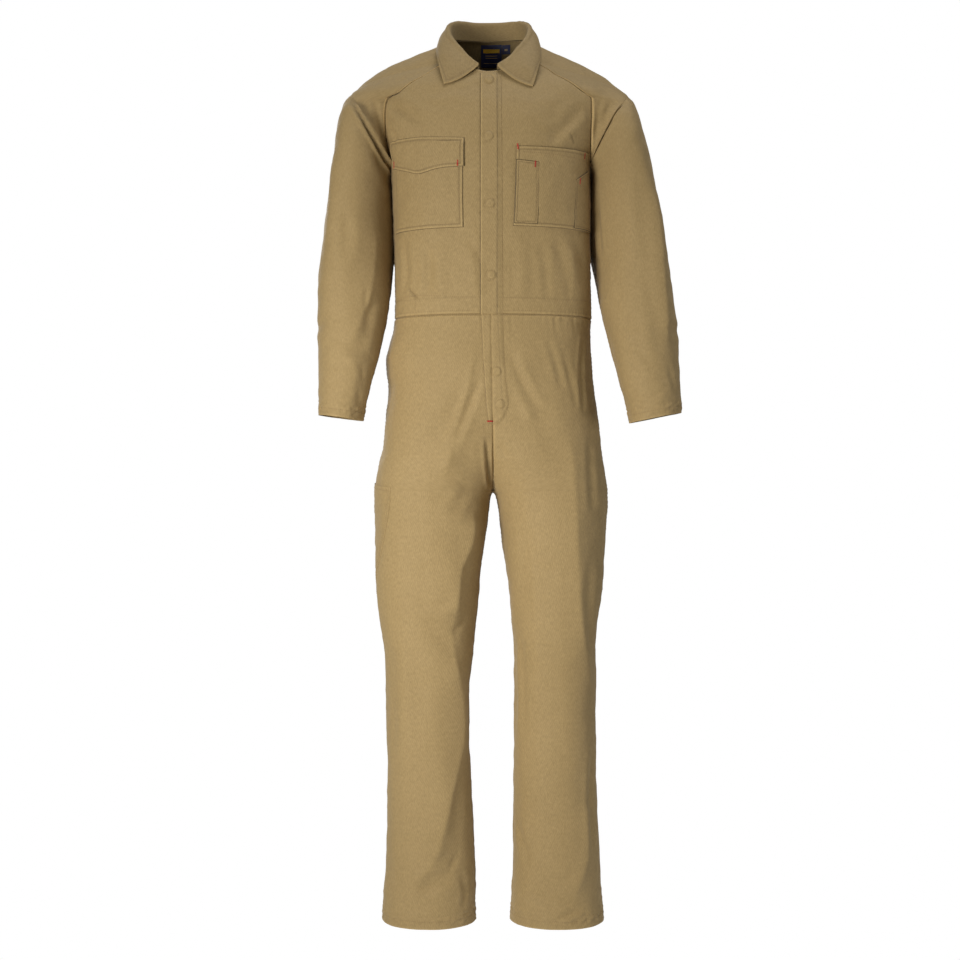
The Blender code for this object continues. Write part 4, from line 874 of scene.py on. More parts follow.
# wrinkles on each panel: three places it runs through, how wide, how deep (minus stands up), and
# which side is steeper
wrinkles = {
    ("front_right", "front"): [
        ((-184, -104), (-146, -128), (-115, -151), 9, 2.4, 0.3),
        ((-181, -149), (-172, -163), (-174, -177), 4, 1.4, 0),
        ((-48, -348), (-34, -365), (-25, -393), 7, 1.1, 0.2),
        ((-158, -348), (-153, -393), (-157, -438), 8, 1.6, 0),
        ((-84, -351), (-93, -403), (-87, -459), 10, -1.4, 0),
        ((-120, -355), (-113, -400), (-120, -445), 7, 1.2, 0),
        ((-150, -429), (-143, -440), (-132, -450), 3, 1.2, 0),
    ],
    ("front_left", "front"): [
        ((158, -111), (127, -149), (96, -180), 10, 2.2, -0.3),
        ((131, -161), (138, -170), (143, -180), 3, 0.5, 0),
        ((108, -348), (125, -397), (136, -462), 10, 1.0, 0.2),
        ((82, -355), (91, -403), (94, -459), 7, 0.8, 0),
        ((46, -348), (51, -403), (46, -459), 9, -0.7, 0),
    ],
    ("leg_front_right", "front"): [
        ((-22, -590), (-48, -653), (-77, -722), 7, 1.9, 0),
        ((-11, -694), (-10, -736), (-6, -777), 5, 2.6, 0.3),
        ((-91, -750), (-67, -769), (-39, -779), 10, 0.9, 0),
        ((-46, -784), (-62, -810), (-77, -836), 9, 0.9, 0),
        ((-46, -1012), (-62, -1027), (-72, -1041), 6, 1.2, 0),
        ((-58, -1428), (-69, -1444), (-78, -1456), 5, 1.3, 0),
        ((-60, -1466), (-50, -1501), (-58, -1529), 7, 1.3, 0),
        ((-135, -1474), (-102, -1456), (-67, -1452), 7, -1.5, 0),
        ((-137, -1493), (-107, -1487), (-72, -1474), 6, 1.6, 0),
        ((-163, -1043), (-156, -1155), (-163, -1267), 14, -1.6, 0),
        ((-135, -980), (-104, -992), (-76, -980), 8, 1.3, 0),
    ],
    ("leg_front_left", "front"): [
        ((29, -549), (53, -604), (86, -654), 9, 1.6, -0.2),
        ((94, -521), (108, -562), (120, -608), 6, 0.9, 0),
        ((124, -549), (136, -597), (146, -646), 6, 0.7, 0),
        ((162, -507), (155, -580), (159, -653), 6, 1.3, 0.2),
        ((11, -705), (16, -718), (25, -729), 6, 1.1, 0),
        ((171, -698), (171, -767), (174, -826), 9, 1.4, 0.2),
        ((45, -1379), (54, -1417), (66, -1451), 8, 1.7, 0),
        ((54, -1494), (80, -1505), (108, -1520), 6, 1.6, 0),
        ((84, -1462), (112, -1480), (142, -1468), 8, 1.5, 0),
        ((113, -1541), (134, -1534), (157, -1526), 4.5, 1.8, 0),
        ((172, -903), (165, -984), (169, -1071), 10, 1.2, 0.2),
        ((176, -1246), (172, -1330), (174, -1428), 9, 1.8, 0.2),
        ((43, -1043), (48, -1138), (45, -1228), 9, -1.3, 0),
        ((78, -1050), (109, -1071), (141, -1062), 9, 1.4, 0),
        ((68, -910), (90, -928), (116, -921), 9, 1.0, 0),
    ],
    ("sleeve_right", "front"): [
        ((-250, -101), (-227, -147), (-183, -219), 3.2, 3.8, -0.6),
        ((-248, -117), (-217, -177), (-187, -240), 12, 1.6, 0),
        ((-262, -540), (-239, -546), (-213, -553), 7, 1.0, 0.2),
        ((-229, -560), (-234, -604), (-238, -644), 8, 0.9, 0),
        ((-210, -447), (-222, -493), (-231, -535), 9, 1.0, 0),
        ((-261, -286), (-257, -335), (-262, -387), 10, 1.5, 0),
        ((-280, -191), (-285, -270), (-289, -356), 14, -1.3, 0),
        ((-224, -433), (-227, -449), (-225, -465), 4, 0.8, 0),
        ((-213, -91), (-204, -129), (-199, -170), 5, 1.3, 0),
    ],
    ("sleeve_left", "front"): [
        ((230, -103), (203, -150), (173, -201), 3.0, 3.0, 0.6),
        ((217, -94), (191, -133), (179, -173), 8, 1.4, 0),
        ((251, -213), (266, -314), (275, -401), 14, 1.8, 0.2),
        ((275, -394), (282, -472), (288, -546), 12, 1.4, 0.2),
        ((240, -530), (252, -556), (270, -581), 6, -0.8, 0),
        ((305, -570), (312, -591), (317, -614), 6, 0.7, 0),
        ((251, -623), (275, -630), (300, -623), 5, -1.0, 0),
        ((187, -261), (189, -314), (194, -370), 7, 1.6, 0),
        ((193, -92), (184, -124), (182, -157), 5, 1.2, 0),
    ],
    # hidden sides, in the same manner
    ("back", "rear"): [
        ((-120, -135), (-98, -190), (-62, -240), 10, 2.2, 0),
        ((112, -135), (92, -195), (60, -246), 10, 2.2, 0),
        ((-66, -395), (-62, -435), (-66, -476), 6, 1.7, 0),
        ((-20, -405), (-24, -440), (-18, -476), 5, 1.4, 0),
        ((38, -398), (34, -438), (40, -476), 6, 1.6, 0),
        ((96, -402), (100, -440), (94, -476), 6, 1.6, 0),
        ((-128, -400), (-132, -440), (-126, -476), 6, 1.6, 0),
        ((-40, -270), (0, -292), (44, -276), 14, -1.8, 0),
    ],
    ("leg_back_right", "rear"): [
        ((-152, -772), (-110, -806), (-52, -800), 10, 2.6, 0),
        ((-36, -700), (-64, -730), (-112, -748), 10, 2.0, 0),
        ((-168, -1058), (-122, -1078), (-66, -1064), 7, 2.4, 0),
        ((-160, -1100), (-122, -1096), (-80, -1108), 7, 1.8, 0),
        ((-116, -1180), (-120, -1290), (-112, -1400), 12, -2.2, 0),
        ((-170, -1490), (-130, -1510), (-76, -1498), 9, 2.0, 0),
    ],
    ("leg_back_left", "rear"): [
        ((150, -776), (108, -808), (52, -798), 10, 2.6, 0),
        ((36, -704), (66, -734), (116, -746), 10, 2.0, 0),
        ((66, -1070), (118, -1086), (168, -1068), 7, 2.4, 0),
        ((80, -1112), (122, -1104), (162, -1114), 7, 1.8, 0),
        ((114, -1190), (118, -1300), (110, -1400), 12, -2.2, 0),
        ((74, -1502), (124, -1512), (170, -1496), 9, 2.0, 0),
    ],
    ("sleeve_right", "rear"): [
        ((-300, -425), (-262, -442), (-214, -430), 7, 2.4, 0),
        ((-302, -470), (-266, -462), (-224, -474), 7, 1.8, 0),
        ((-250, -150), (-222, -200), (-196, -262), 9, 2.4, 0),
    ],
    ("sleeve_left", "rear"): [
        ((216, -432), (266, -446), (308, -430), 7, 2.4, 0),
        ((226, -478), (272, -468), (312, -476), 7, 1.8, 0),
        ((242, -152), (214, -204), (188, -266), 9, 2.4, 0),
    ],
    ("sleeve_right", "outRight"): [
        ((-44, -250), (-30, -300), (-40, -352), 12, 2.0, 0),
        ((-86, -486), (-48, -498), (-10, -484), 8, 1.1, 0),
    ],
    ("sleeve_left", "outLeft"): [
        ((10, -262), (24, -310), (8, -360), 12, 1.8, 0),
        ((-92, -496), (-56, -506), (-14, -492), 8, 1.1, 0),
    ],
    ("leg_back_right", "outRight"): [
        ((40, -590), (62, -650), (58, -720), 12, 2.0, 0),
    ],
    ("leg_back_left", "outLeft"): [
        ((40, -596), (60, -656), (56, -724), 12, 2.0, 0),
    ],
}
# ridges where the cloth changes plane: how high, and how far it falls away to the viewer's left and right
breaks = [
    ("leg_front_right", [(-36, -814), (-44, -875), (-62, -931), (-72, -1028)], 8.0, 32, 18),
    ("leg_front_right", [(-72, -1019), (-71, -1086), (-62, -1156), (-60, -1222), (-76, -1318), (-102, -1430),
                         (-121, -1453)], 8.0, 32, 18),
    ("leg_front_right", [(-29, -528), (-51, -632), (-82, -746), (-93, -781)], 5.0, 28, 15),
    ("leg_front_right", [(-87, -1405), (-111, -1447), (-143, -1482)], 3.0, 16, 8),
    ("leg_front_left", [(130, -666), (139, -753), (146, -910), (151, -1015), (165, -1106), (172, -1189)],
     4.5, 32, 20),
    ("leg_front_left", [(162, -1331), (166, -1419), (152, -1480), (138, -1521)], 3.5, 22, 12),
    ("leg_front_left", [(25, -549), (46, -618), (72, -675)], 2.6, 12, 20),
    ("sleeve_right", [(-211, -307), (-212, -368), (-223, -456), (-247, -522), (-260, -543)], 3.6, 28, 20),
    ("sleeve_right", [(-258, -548), (-237, -582), (-230, -640)], 1.8, 20, 14),
    ("sleeve_right", [(-251, -94), (-234, -131), (-209, -166), (-184, -210)], 4.6, 20, 3.2),
    ("sleeve_left", [(229, -101), (199, -148), (173, -198)], 3.6, 3.2, 20),
    ("sleeve_left", [(277, -246), (291, -351), (300, -456), (304, -543)], 4.0, 26, 16),
    ("front_right", [(-30, -339), (-34, -394), (-27, -460)], 1.8, 14, 8),
    ("front_left", [(134, -355), (139, -407), (136, -467)], 2.0, 22, 16),
]
# gathers under the waist seam: place across, how far down, how deep
gatherRows = table("x long deep", [
    (-77, 14, 1.1), (-67, 22, 1.4), (-43, 16, 1.2), (-34, 20, 1.2), (29, 22, 1.3), (95, 18, 1.2),
    (106, 26, 1.5), (121, 20, 1.3), (140, 24, 1.4), (160, 16, 1.2), (175, 20, 1.0),
])
# general unevenness of the cloth: how high, how large, and the seed
lumps = [(0.55, 110, 3), (0.34, 42, 5), (0.12, 17, 9)]


def curveOn(surface, kind, places, count=9):
    # smooth line through three places, laid on the surface
    (a0, z0), (a1, z1), (a2, z2) = places
    out = []
    for i in range(count):
        t = i / (count - 1)
        w = ((1 - t) * (1 - 2 * t), 4 * t * (1 - t), t * (2 * t - 1))
        across, z = w[0] * a0 + w[1] * a1 + w[2] * a2, w[0] * z0 + w[1] * z1 + w[2] * z2
        out.append(surface.place(kind, across, z)[0])
    return np.array(out)


def lineOn(surface, kind, places):
    # smooth line through any number of places, laid on the surface
    places = np.array(places, float)
    rows = {"t": np.arange(len(places), dtype=float), "a": places[:, 0], "z": places[:, 1]}
    at = np.linspace(0, len(places) - 1, len(places) * 4)
    return np.array([surface.place(kind, float(a), float(z))[0]
                     for a, z in zip(along(rows, "t", "a", at), along(rows, "t", "z", at))])


def plainFace(panel):
    return plainSleeves if panel.startswith("sleeve") else plainBody


foldLines, planeLines = {}, {}
for (panel, kind), rows in wrinkles.items():
    lines = [(curveOn(plainFace(panel), kind, row[:3]), row[3:]) for row in rows]
    foldLines.setdefault(panel, []).extend(lines)
for panel, places, *fall in breaks:
    planeLines.setdefault(panel, []).append((lineOn(plainFace(panel), "front", places), fall))
seamEdges = {"front": ("low", "last", "high"), "back": ("low", "first", "last", "high"),
             "sleeve": ("low", "first", "last"), "leg": ("low", "first", "last")}


def pressWrinkles(name, points, normal, free, high, shade):
    # each wrinkle with a swell beside it; a narrow one also gets painted shade along it
    for line, (wide, deep, skew) in foldLines.get(name, ()):
        reach = wide * 3.4
        box = np.all((points > line.min(axis=0) - reach) & (points < line.max(axis=0) + reach), axis=1)
        if not box.any():
            continue
        away, t, hand = lineGap(points[box], line)
        side = np.sign(np.sum(hand * normal[box], axis=1))
        q = away / (wide * (1 + 0.45 * skew * side))
        shape = -np.exp(-q ** 2) + 0.45 * bell(q, 0.9, 1.9)
        high[box] += cloth["crease"] * deep * shape * (1 - (2 * t - 1) ** 4) * free[box]
        if wide < 3.5:
            shade[box] -= 2.0 * bell(away, 2.0) * (1 - (2 * t - 1) ** 4)


def raiseBreaks(name, points, normal, free, high):
    for line, (crest, left, right) in planeLines.get(name, ()):
        away, t, hand = lineGap(points, line)
        wide = np.where(np.sum(hand * normal, axis=1) > 0, right, left)
        fall = (np.sqrt(away ** 2 + 6.0) - 6.0 ** 0.5) / wide
        ends = np.clip(np.minimum(t, 1 - t) * 5, 0, 1)
        rise = cloth["plane"] * crest * np.exp(-fall) * ends * ends * (3 - 2 * ends) * free
        high += rise * np.where(fall < 6, 1, 0)


def turnHem(points, gapHem, high):
    high += hem["rise"] / (1 + np.exp(np.clip((gapHem - hem["deep"] - 1) / 0.8, -30, 30)))
    high -= hem["pull"] * bell(gapHem, 1.8, hem["stitch"])
    high += hem["roping"] * noiseAt(points, 13, 21) * bell(gapHem, 12, 14)


def gatherWaist(points, gap, down, high):
    for x, long, deep in zip(gatherRows["x"], gatherRows["long"], gatherRows["deep"]):
        for behind in (False, True):
            place = x if not behind else x * 0.93 + 11
            match = (points[:, 1] > 0) == behind
            away = (points[:, 0] - place - down * 0.12 * np.sign(x)) / 3.4
            shape = np.exp(-away ** 2) - 0.45 * bell(np.abs(away), 0.8, 1.7)
            fade = (1 - bell(down, 2.5)) * bell(down, long)
            high -= np.where(match, deep * cloth["gather"] * shape * fade, 0) * ramp(gap, 5)


def panelRelief(name, grid, normal):
    # how far each point stands out, and the painted highlight and shade bands that the drill's colour reads
    around, kind = name.startswith("sleeve"), name.split("_")[0]
    points, normal = grid.reshape(-1, 3), normal.reshape(-1, 3)
    gaps = edgeGaps(grid, around)
    edges = seamEdges[kind]
    runs = {"low": gaps["first"], "high": gaps["first"], "first": gaps["low"], "last": gaps["low"]}
    stack = np.stack([gaps[e].reshape(-1) for e in edges])
    gap = stack.min(axis=0)
    run = np.stack([runs[e].reshape(-1) for e in edges])[stack.argmin(axis=0), np.arange(len(gap))]
    free = 1 - bell(gap, 6)
    waist, gapHem = gaps["low"].reshape(-1), gaps["high"].reshape(-1)
    high, shade = largeFolds(points), np.zeros(len(points))
    high += sum(tall * noiseAt(points, size, seed) for tall, size, seed in lumps)
    high += seamShape(gap, run, sum(map(ord, name)) % 17)
    pressWrinkles(name, points, normal, free, high, shade)
    raiseBreaks(name, points, normal, free, high)
    # painted highlight beside each seam and painted shade in its groove
    wear = seamForm["paintedHighlight"] * bell(gap, 1.2, 3.0) - seamForm["paintedShade"] * bell(gap, 1.25)
    if kind in ("sleeve", "leg"):
        turnHem(points, gapHem, high)
    if kind == "leg":
        gatherWaist(points, gap, waist, high)
    if kind == "sleeve":
        # painted highlight on the sleeve's side of the raglan seam
        wear += 2.8 * bell(waist, 1.2, 2.9)
    else:  # the waist seam shows less than the others
        wear = wear * (1 - 0.45 * bell(waist, 6))
    if kind in ("front", "back"):  # a second stitch line above the waist seam: a shallow groove with painted shade along it
        wear -= 0.55 * bell(waist, 1.4, cloth["waistStitch"])
        high -= 0.2 * bell(waist, 1.8, cloth["waistStitch"])
    if kind in ("sleeve", "leg"):
        # painted highlight along the hem's folded edge
        wear = np.maximum(wear, bell(gapHem, 2.2))
    return high.reshape(grid.shape[:2]), (wear + shade).reshape(grid.shape[:2])


outer, outerNormals, paintedBands = {}, {}, {}
for name, grid in skin.items():
    high, paintedBands[name] = panelRelief(name, grid, normals[name])
    outer[name] = grid + normals[name] * (high + cloth["face"])[..., None]
outerNormals = sharedNormals(outer)
print("folds made")

for name, grid in outer.items():
    around = name.startswith("sleeve")
    piece = addShell(name + "_cloth", grid, grid - outerNormals[name] * cloth["thick"], khaki, around, 2)
    setPaintedLight(piece, paintedBands[name])
    keep(piece, name)
print("panels made")

dressed = [(outer[n], outerNormals[n], False) for n in outer if not n.startswith("sleeve")]
bodyFace = Surface(dressed)


def edgeSteps(length, cell):
    near = np.array([0, 0.5, 1.1, 2.0, 3.2, 4.6, 6.2, 8.0])
    near = near[near < length / 2 - cell]
    middle = np.linspace(near[-1], length - near[-1], max(2, int((length - 2 * near[-1]) / cell) + 1))
    return np.unique(np.round(np.concatenate([near, middle, length - near]), 5)) / length


def seated(gap, full):
    # height near a turned edge: a rounded lip that comes down to the cloth
    return full * (0.55 + 0.45 * (1 - bell(gap, 0.9)))


def sewnEdge(gaps):
    # how far in from a pocket's two sides and foot
    return np.minimum.reduce([gaps["first"], gaps["last"], gaps["low"]])


def lumpy(points, edge, high, size, seed, near):
    # the unevenness of a piece, none at its sewn edge
    return high * noiseAt(points.reshape(-1, 3), size, seed).reshape(edge.shape) * ramp(edge, near)


def stitched(gap, at, deep=0.35, wide=1.3):
    return -deep * bell(gap, wide, at)


def layPatch(node, where, settings, lift):
    # a piece laid on the body, with seated edges and a stitch line, and painted highlight and shade along its
    # edges, its stitch line and over any studs under it
    us = edgeSteps(settings["wide"], settings["cell"])
    vs = edgeSteps(settings["high"], settings["cell"])
    v, u = np.meshgrid(vs, us, indexing="ij")
    across, z = where(u, v)
    points, normal = bodyFace.grid(settings["on"], across, z)
    normal = smoothNormals(normal, 4)
    gaps = edgeGaps(points, False)
    up = lift(gaps, points)
    top = points + normal * up[..., None]
    low = points + normal * (up - settings["thick"])[..., None]
    piece = addShell(node + "_cloth", top, low, khaki)
    edge = np.minimum.reduce([gaps[k] for k in settings.get("sharp", ("first", "last", "low", "high"))])
    line = bell(edge - settings.get("margin", 30.0), 1.05)
    # painted highlight just inside the edge, painted shade at the rim and along the stitch line
    paintedEdgeLight = settings.get("wear", 1.0) * (1.5 * bell(edge, 1.0, 2.3)
                                          - 4.2 * bell(edge, 0.95) - 1.9 * line)
    for x, level in settings.get("studs", ()):  # over each shut stud: a painted highlight inside and a ring of painted shade round it
        r = np.hypot(points[..., 0] - x, points[..., 2] - level) - settings["radius"]
        paintedEdgeLight = paintedEdgeLight + 0.5 * bell(r + 1.2, 1.3) - 0.85 * bell(r, 1.3, 1.1)
    setPaintedLight(piece, paintedEdgeLight)
    keep(piece, node)
    dressed.append((top, smoothNormals(normal, 1), False))


def between(corners):
    (a1, z1), (a2, z2), (a3, z3), (a4, z4) = corners
    return lambda u, v: ((1 - v) * ((1 - u) * a1 + u * a2) + v * ((1 - u) * a3 + u * a4),
                         (1 - v) * ((1 - u) * z1 + u * z2) + v * ((1 - u) * z3 + u * z4))


# strip over the front opening, with the shut studs showing through it
placket = {"on": "front", "wide": 38.0, "high": 428.0, "cell": 1.5, "thick": 1.3, "wear": 1.5,
           "sharp": ("first",), "studs": [(-7.6, -68), (-7.9, -173), (-5.3, -289), (-3.5, -412)],
           "radius": 6.6, "proud": 2.3}


def studSwell(points, settings):
    total = 0
    for x, z in settings["studs"]:
        r = np.hypot(points[..., 0] - x, points[..., 2] - z)
        total = total + settings["proud"] / (1 + np.exp(np.clip((r - settings["radius"]) / 0.55, -30, 30)))
        total = total - 0.7 * bell(r - settings["radius"], 1.5, 3.0)
    return total


def placketWhere(u, v):
    z = -479.5 + v * 427
    left, right = -23.4, 13.6 + 3.0 * (z + 50) / -430
    return left + (right - left) * u, z + 0 * u


def placketLift(gaps, points):
    left = seated(gaps["first"], 2.0)
    fade = ramp(gaps["last"], 7)
    top = seated(gaps["high"], 1.0)
    up = left * (0.18 + 0.82 * eased(fade)) * top
    up = up + stitched(gaps["last"], 4.2, 0.25) + 0.25 * np.sin(points[..., 2] / 17) * fade
    return up + studSwell(points, placket)


layPatch("placket", placketWhere, placket, placketLift)

# strip that carries the opening on below the waist
fly = {"on": "front", "wide": 40.0, "high": 193.0, "cell": 1.5, "thick": 1.2, "wear": 0.7,
       "sharp": ("first",), "studs": [(6, -580), (12, -636)], "radius": 6.6, "proud": 1.6}
flyEdges = table("z left right", [(-674, 0, 5), (-666, -9, 15), (-652, -11, 22.5), (-636, -13, 27.2),
                                  (-608, -15, 25), (-580, -16.6, 21.6), (-550, -19, 19), (-515, -20.5, 17.5),
                                  (-481.0, -22, 16.5)])


def flyWhere(u, v):
    z = -674 + v * 193
    left, right = along(flyEdges, "z", "left", z), along(flyEdges, "z", "right", z)
    return left + (right - left) * u, z + 0 * u


def flyLift(gaps, points):
    fade = ramp(np.minimum(gaps["last"], gaps["low"]), 6)
    up = seated(gaps["first"], 1.9) * (0.16 + 0.84 * eased(fade))
    return up + studSwell(points, fly)


layPatch("fly", flyWhere, fly, flyLift)

# chest pocket with the pointed flap
pocket = {"on": "body", "wide": 139.0, "high": 152.0, "cell": 3.4, "thick": 1.2, "margin": 6.0}


def pocketLift(gaps, points):
    edge = sewnEdge(gaps)
    puff = 1.1 * ramp(edge, 45) ** 0.7
    up = seated(edge, 2.1) + puff + stitched(edge, pocket["margin"], 0.55)
    return up + lumpy(points, edge, 0.25, 38, 31, 9)


layPatch("pocket_right", between([(-76, -331), (-22, -329.5), (-71.5, -176), (-20.6, -181)]),
         pocket, pocketLift)
flap = {"on": "body", "wide": 137.0, "high": 55.0, "cell": 3.0, "thick": 1.4, "margin": 5.5}
flapEdges = table("angle low high", [(-73.5, -216, -169), (-62, -226, -169), (-51.5, -233.7, -169.6),
                                     (-42, -229.5, -171.5), (-33, -226.5, -173.2), (-20.2, -226, -175.2)])


def flapWhere(u, v):
    angle = -73.5 + 53.3 * u
    low, high = along(flapEdges, "angle", "low", angle), along(flapEdges, "angle", "high", angle)
    return angle, low + (high - low) * v


def flapLift(gaps, points):
    side = np.minimum(gaps["first"], gaps["last"])
    edge = np.minimum(np.minimum(side, gaps["low"]), gaps["high"])
    over = ramp(gaps["high"], 14)
    stand = 1.0 * np.clip(1 - gaps["low"] / 26, 0, 1) ** 2
    up = seated(edge, 1.9) + 2.6 * eased(over) + stand
    up = up + stitched(edge, flap["margin"], 0.55)
    return up + lumpy(points, edge, 0.3, 33, 37, 9)


layPatch("pocket_flap_right", flapWhere, flap, flapLift)

# chest pocket with a pen strip and a slanted pencil pocket on it
layPatch("pocket_left", between([(17.5, -327.5), (79, -329), (18.7, -190), (73, -188)]),
         dict(pocket, wide=140.0, high=139.0), pocketLift)


def smallLift(gaps, points):
    edge = sewnEdge(gaps)
    mouth = 0.8 * bell(gaps["high"], 9) * ramp(edge, 9)
    return small["raised"] + seated(edge, 1.5) + mouth + stitched(edge, small["margin"], 0.35)


small = {"on": "body", "wide": 44.0, "high": 110.0, "cell": 3.0, "thick": 1.2, "margin": 3.4, "wear": 1.5,
         "raised": 2.3}
layPatch("pen_pocket_left", between([(18.2, -323), (35.2, -323), (18.6, -213.5), (34.7, -217)]),
         small, smallLift)
layPatch("pencil_pocket_left", between([(60.4, -325.5), (78, -327), (61.5, -239.5), (74, -219)]),
         dict(small, wide=38.0, high=100.0), smallLift)

# long narrow pocket on the side of the right leg
rulePocket = {"on": "legRight", "wide": 62.0, "high": 221.0, "cell": 3.4, "thick": 1.2, "margin": 5.0,
              "wear": 0.22}
ruleEdges = table("step front back zFront zBack", [(0, -84, -112, -990, -990), (1, -72, -116, -945, -950),
                                                   (2, -60, -119, -912, -915), (3, -48, -122, -867, -870),
                                                   (4, -41, -124, -823, -825), (5, -39.5, -125, -800, -797),
                                                   (6, -39, -125, -781, -770)])


def ruleWhere(u, v):
    r = {name: along(ruleEdges, "step", name, v * 6) for name in ("front", "back", "zFront", "zBack")}
    return r["front"] + (r["back"] - r["front"]) * u, r["zFront"] + (r["zBack"] - r["zFront"]) * u


def ruleLift(gaps, points):
    edge = sewnEdge(gaps)
    mouth = 0.7 * bell(gaps["high"], 14) * ramp(edge, 14)
    up = seated(edge, 1.0) + 0.4 * ramp(edge, 24) + mouth
    return up + stitched(edge, rulePocket["margin"], 0.35)


layPatch("rule_pocket", ruleWhere, rulePocket, ruleLift)
print("pockets and strips made")

clothFace = Surface([(outer[n], outerNormals[n], n.startswith("sleeve")) for n in outer])
collar = {"columns": 150, "linePoints": 26, "sag": 8.0, "thick": 2.2, "clear": 1.6, "stitch": 6.0}


def smoothThrough(points, count, near):
    # Catmull-Rom through a few points, then evenly spaced with extra points near the far end
    points = np.array(points)
    full = np.concatenate([[2 * points[0] - points[1]], points, [2 * points[-1] - points[-2]]])
    dense = []
    for i in range(len(points) - 1):
        a, b, c, d = full[i:i + 4]
        for t in np.linspace(0, 1, 12, endpoint=False):
            dense.append(0.5 * (2 * b + (c - a) * t + (2 * a - 5 * b + 4 * c - d) * t * t
                                + (3 * b - a - 3 * c + d) * t ** 3))
    dense = np.array(dense + [points[-1]])
    run = np.concatenate([[0], np.cumsum(np.linalg.norm(np.diff(dense, axis=0), axis=1))])
    at = np.concatenate([np.linspace(0, run[-1] - near[-1], count), run[-1] - np.array(near[:-1])[::-1]])
    return np.stack([np.interp(at, run, dense[:, i]) for i in range(3)], axis=1)


def collarLines():
    start, end = -collarRightRows["angle"][0], collarLeftRows["angle"][0]
    sweep = 360 - end + start
    near = [d / 430 for d in (0.5, 1.1, 2.0, 3.2, 4.6, 6.2)]
    spots = np.unique(np.concatenate([np.linspace(0, 1, collar["columns"]), near, [1 - d for d in near]]))
    lines = []
    for spot in spots:
        angle = start - sweep * spot
        turn = angle if angle > -180 else angle + 360
        rows = collarRightRows if turn <= 0 else collarLeftRows
        size = abs(turn)
        base = neckPoint(turn)
        run = neckPoint(turn + 1) - neckPoint(turn - 1)
        out = np.array([run[1], -run[0], 0])
        out /= np.linalg.norm(out)
        if out @ (base - [neck["shift"], 0, base[2]]) < 0:
            out = -out
        stand = float(along(rows, "angle", "stand", size))
        edge = np.array([float(along(rows, "angle", n, size)) for n in ("x", "y", "z")])
        up = np.array([0, 0, 1.0])
        line = [base + up * 0.6, base + up * (1.1 + stand * 0.5) - out * 0.3, base + up * (stand - 0.5),
                base + out * 1.2 + up * (stand + 2.2), base + out * 4.2 + up * (stand + 3.6),
                base + out * 7.2 + up * (stand + 2.0)]
        begin = base + out * 8.4 + up * (stand - 2.0)
        sag = collar["sag"] * min(1.0, max(0.0, (34 - size) / 18))
        for i in range(5):
            t = i / 4
            bow = ((out + up * 0.4) * 3.0 - up * sag) * math.sin(math.pi * t)
            line.append(begin + (edge - begin) * t + bow)
        lines.append(smoothThrough(line, collar["linePoints"], [0, 0.5, 1.1, 2.0, 3.2, 4.6, 6.2]))
    grid = np.array(lines)
    need = collar["thick"] / 2 + collar["clear"]
    for line in grid:
        for i in range(12, len(line)):
            point = line[i]
            hit, _, index, _ = clothFace.tree.find_nearest(Vector(point))
            hit, normal = clothFace.at(hit, index)
            if (point - hit) @ normal < need:
                point = hit + normal * need
            above = Vector((point[0], point[1], 120))
            below, _, index, _ = clothFace.tree.ray_cast(above, Vector((0, 0, -1)))
            if below is not None:
                below, normal = clothFace.at(below, index)
                if normal[2] > 0.6:
                    point[2] = max(point[2], below[2] + need / normal[2])
            line[i] = point
    return grid


def makeCollar():
    grid = collarLines()
    for _ in range(2):
        soft = grid.copy()
        soft[1:-1, 12:-1] = (grid[1:-1, 12:-1] * 2 + grid[:-2, 12:-1] + grid[2:, 12:-1]) / 4
        grid = soft
    normal = gridNormals(grid, False)
    normal /= np.linalg.norm(normal, axis=-1)[..., None]
    middle = len(grid) // 2
    if normal[middle, 2] @ (grid[middle, 2] - [neck["shift"], 0, grid[middle, 2][2]]) > 0:
        normal = -normal  # the stand's outer side is under the fall, so the seen side faces inwards there
    gaps = edgeGaps(grid, False)
    edge = np.minimum(np.minimum(gaps["low"], gaps["high"]), gaps["last"])
    line = edge - collar["stitch"]
    half = collar["thick"] / 2 * (0.62 + 0.38 * (1 - bell(edge, 1.0)))
    half = half + 0.1 * bell(edge, 1.6, 2.4) - 0.25 * bell(line, 1.3)
    half = half + lumpy(grid, edge, 0.25, 40, 41, 10)
    top = grid + normal * half[..., None]
    piece = addShell("collar_cloth", top, grid - normal * collar["thick"] / 2, collarKhaki)
    # painted highlight along the collar's edges, painted shade along its stitch line
    setPaintedLight(piece, 2.0 * bell(edge, 1.6) - 1.2 * bell(line, 1.0))
    keep(piece, "collar")
    return top, gaps, normal


collarTop, collarGaps, collarAway = makeCollar()
print("collar made")

# labels inside the back of the neck
labels = {"thick": 0.5, "lift": 0.5}
for name, x1, x2, z1, z2, bands in (
        ("neck_label", -21.5, 17.0, -2.5, 35.0,
         [("#E3B32A", 26, 33, 4, 34), ("#B79A6A", 20.5, 21.6, 8, 30), ("#B79A6A", 16.5, 17.6, 8, 30),
          ("#B79A6A", 7, 8.1, 5, 33)]),
        ("size_label", 17.8, 33.0, 19.0, 34.0, [("#B79A6A", 6, 9.5, 4.5, 10.5)])):
    us, vs = np.linspace(0, 1, 15), np.linspace(0, 1, 15)
    v, u = np.meshgrid(vs, us, indexing="ij")
    points, normal = clothFace.grid("inside", x1 + (x2 - x1) * u, z1 + (z2 - z1) * v)
    normal = -smoothNormals(normal, 3)
    gaps = edgeGaps(points, False)
    away = cloth["thick"] + labels["lift"] + 0.9 * ramp(gaps["high"], 30) ** 2
    top = points + normal * (away + labels["thick"])[..., None]
    piece = addShell(name + "_cloth", top, points + normal * away[..., None],
                     wovenLabel(name.replace("_l", "L") + "Damask", bands))
    keep(piece, name)
print("labels made")

# stitching: one tree lays stitches along every line
thread = {"pitch": 3.6, "long": 3.0, "wide": 0.75, "high": 0.6, "sink": 0.05}
tack = {"pitch": 0.7, "long": 0.75, "wide": 3.9, "high": 1.7}


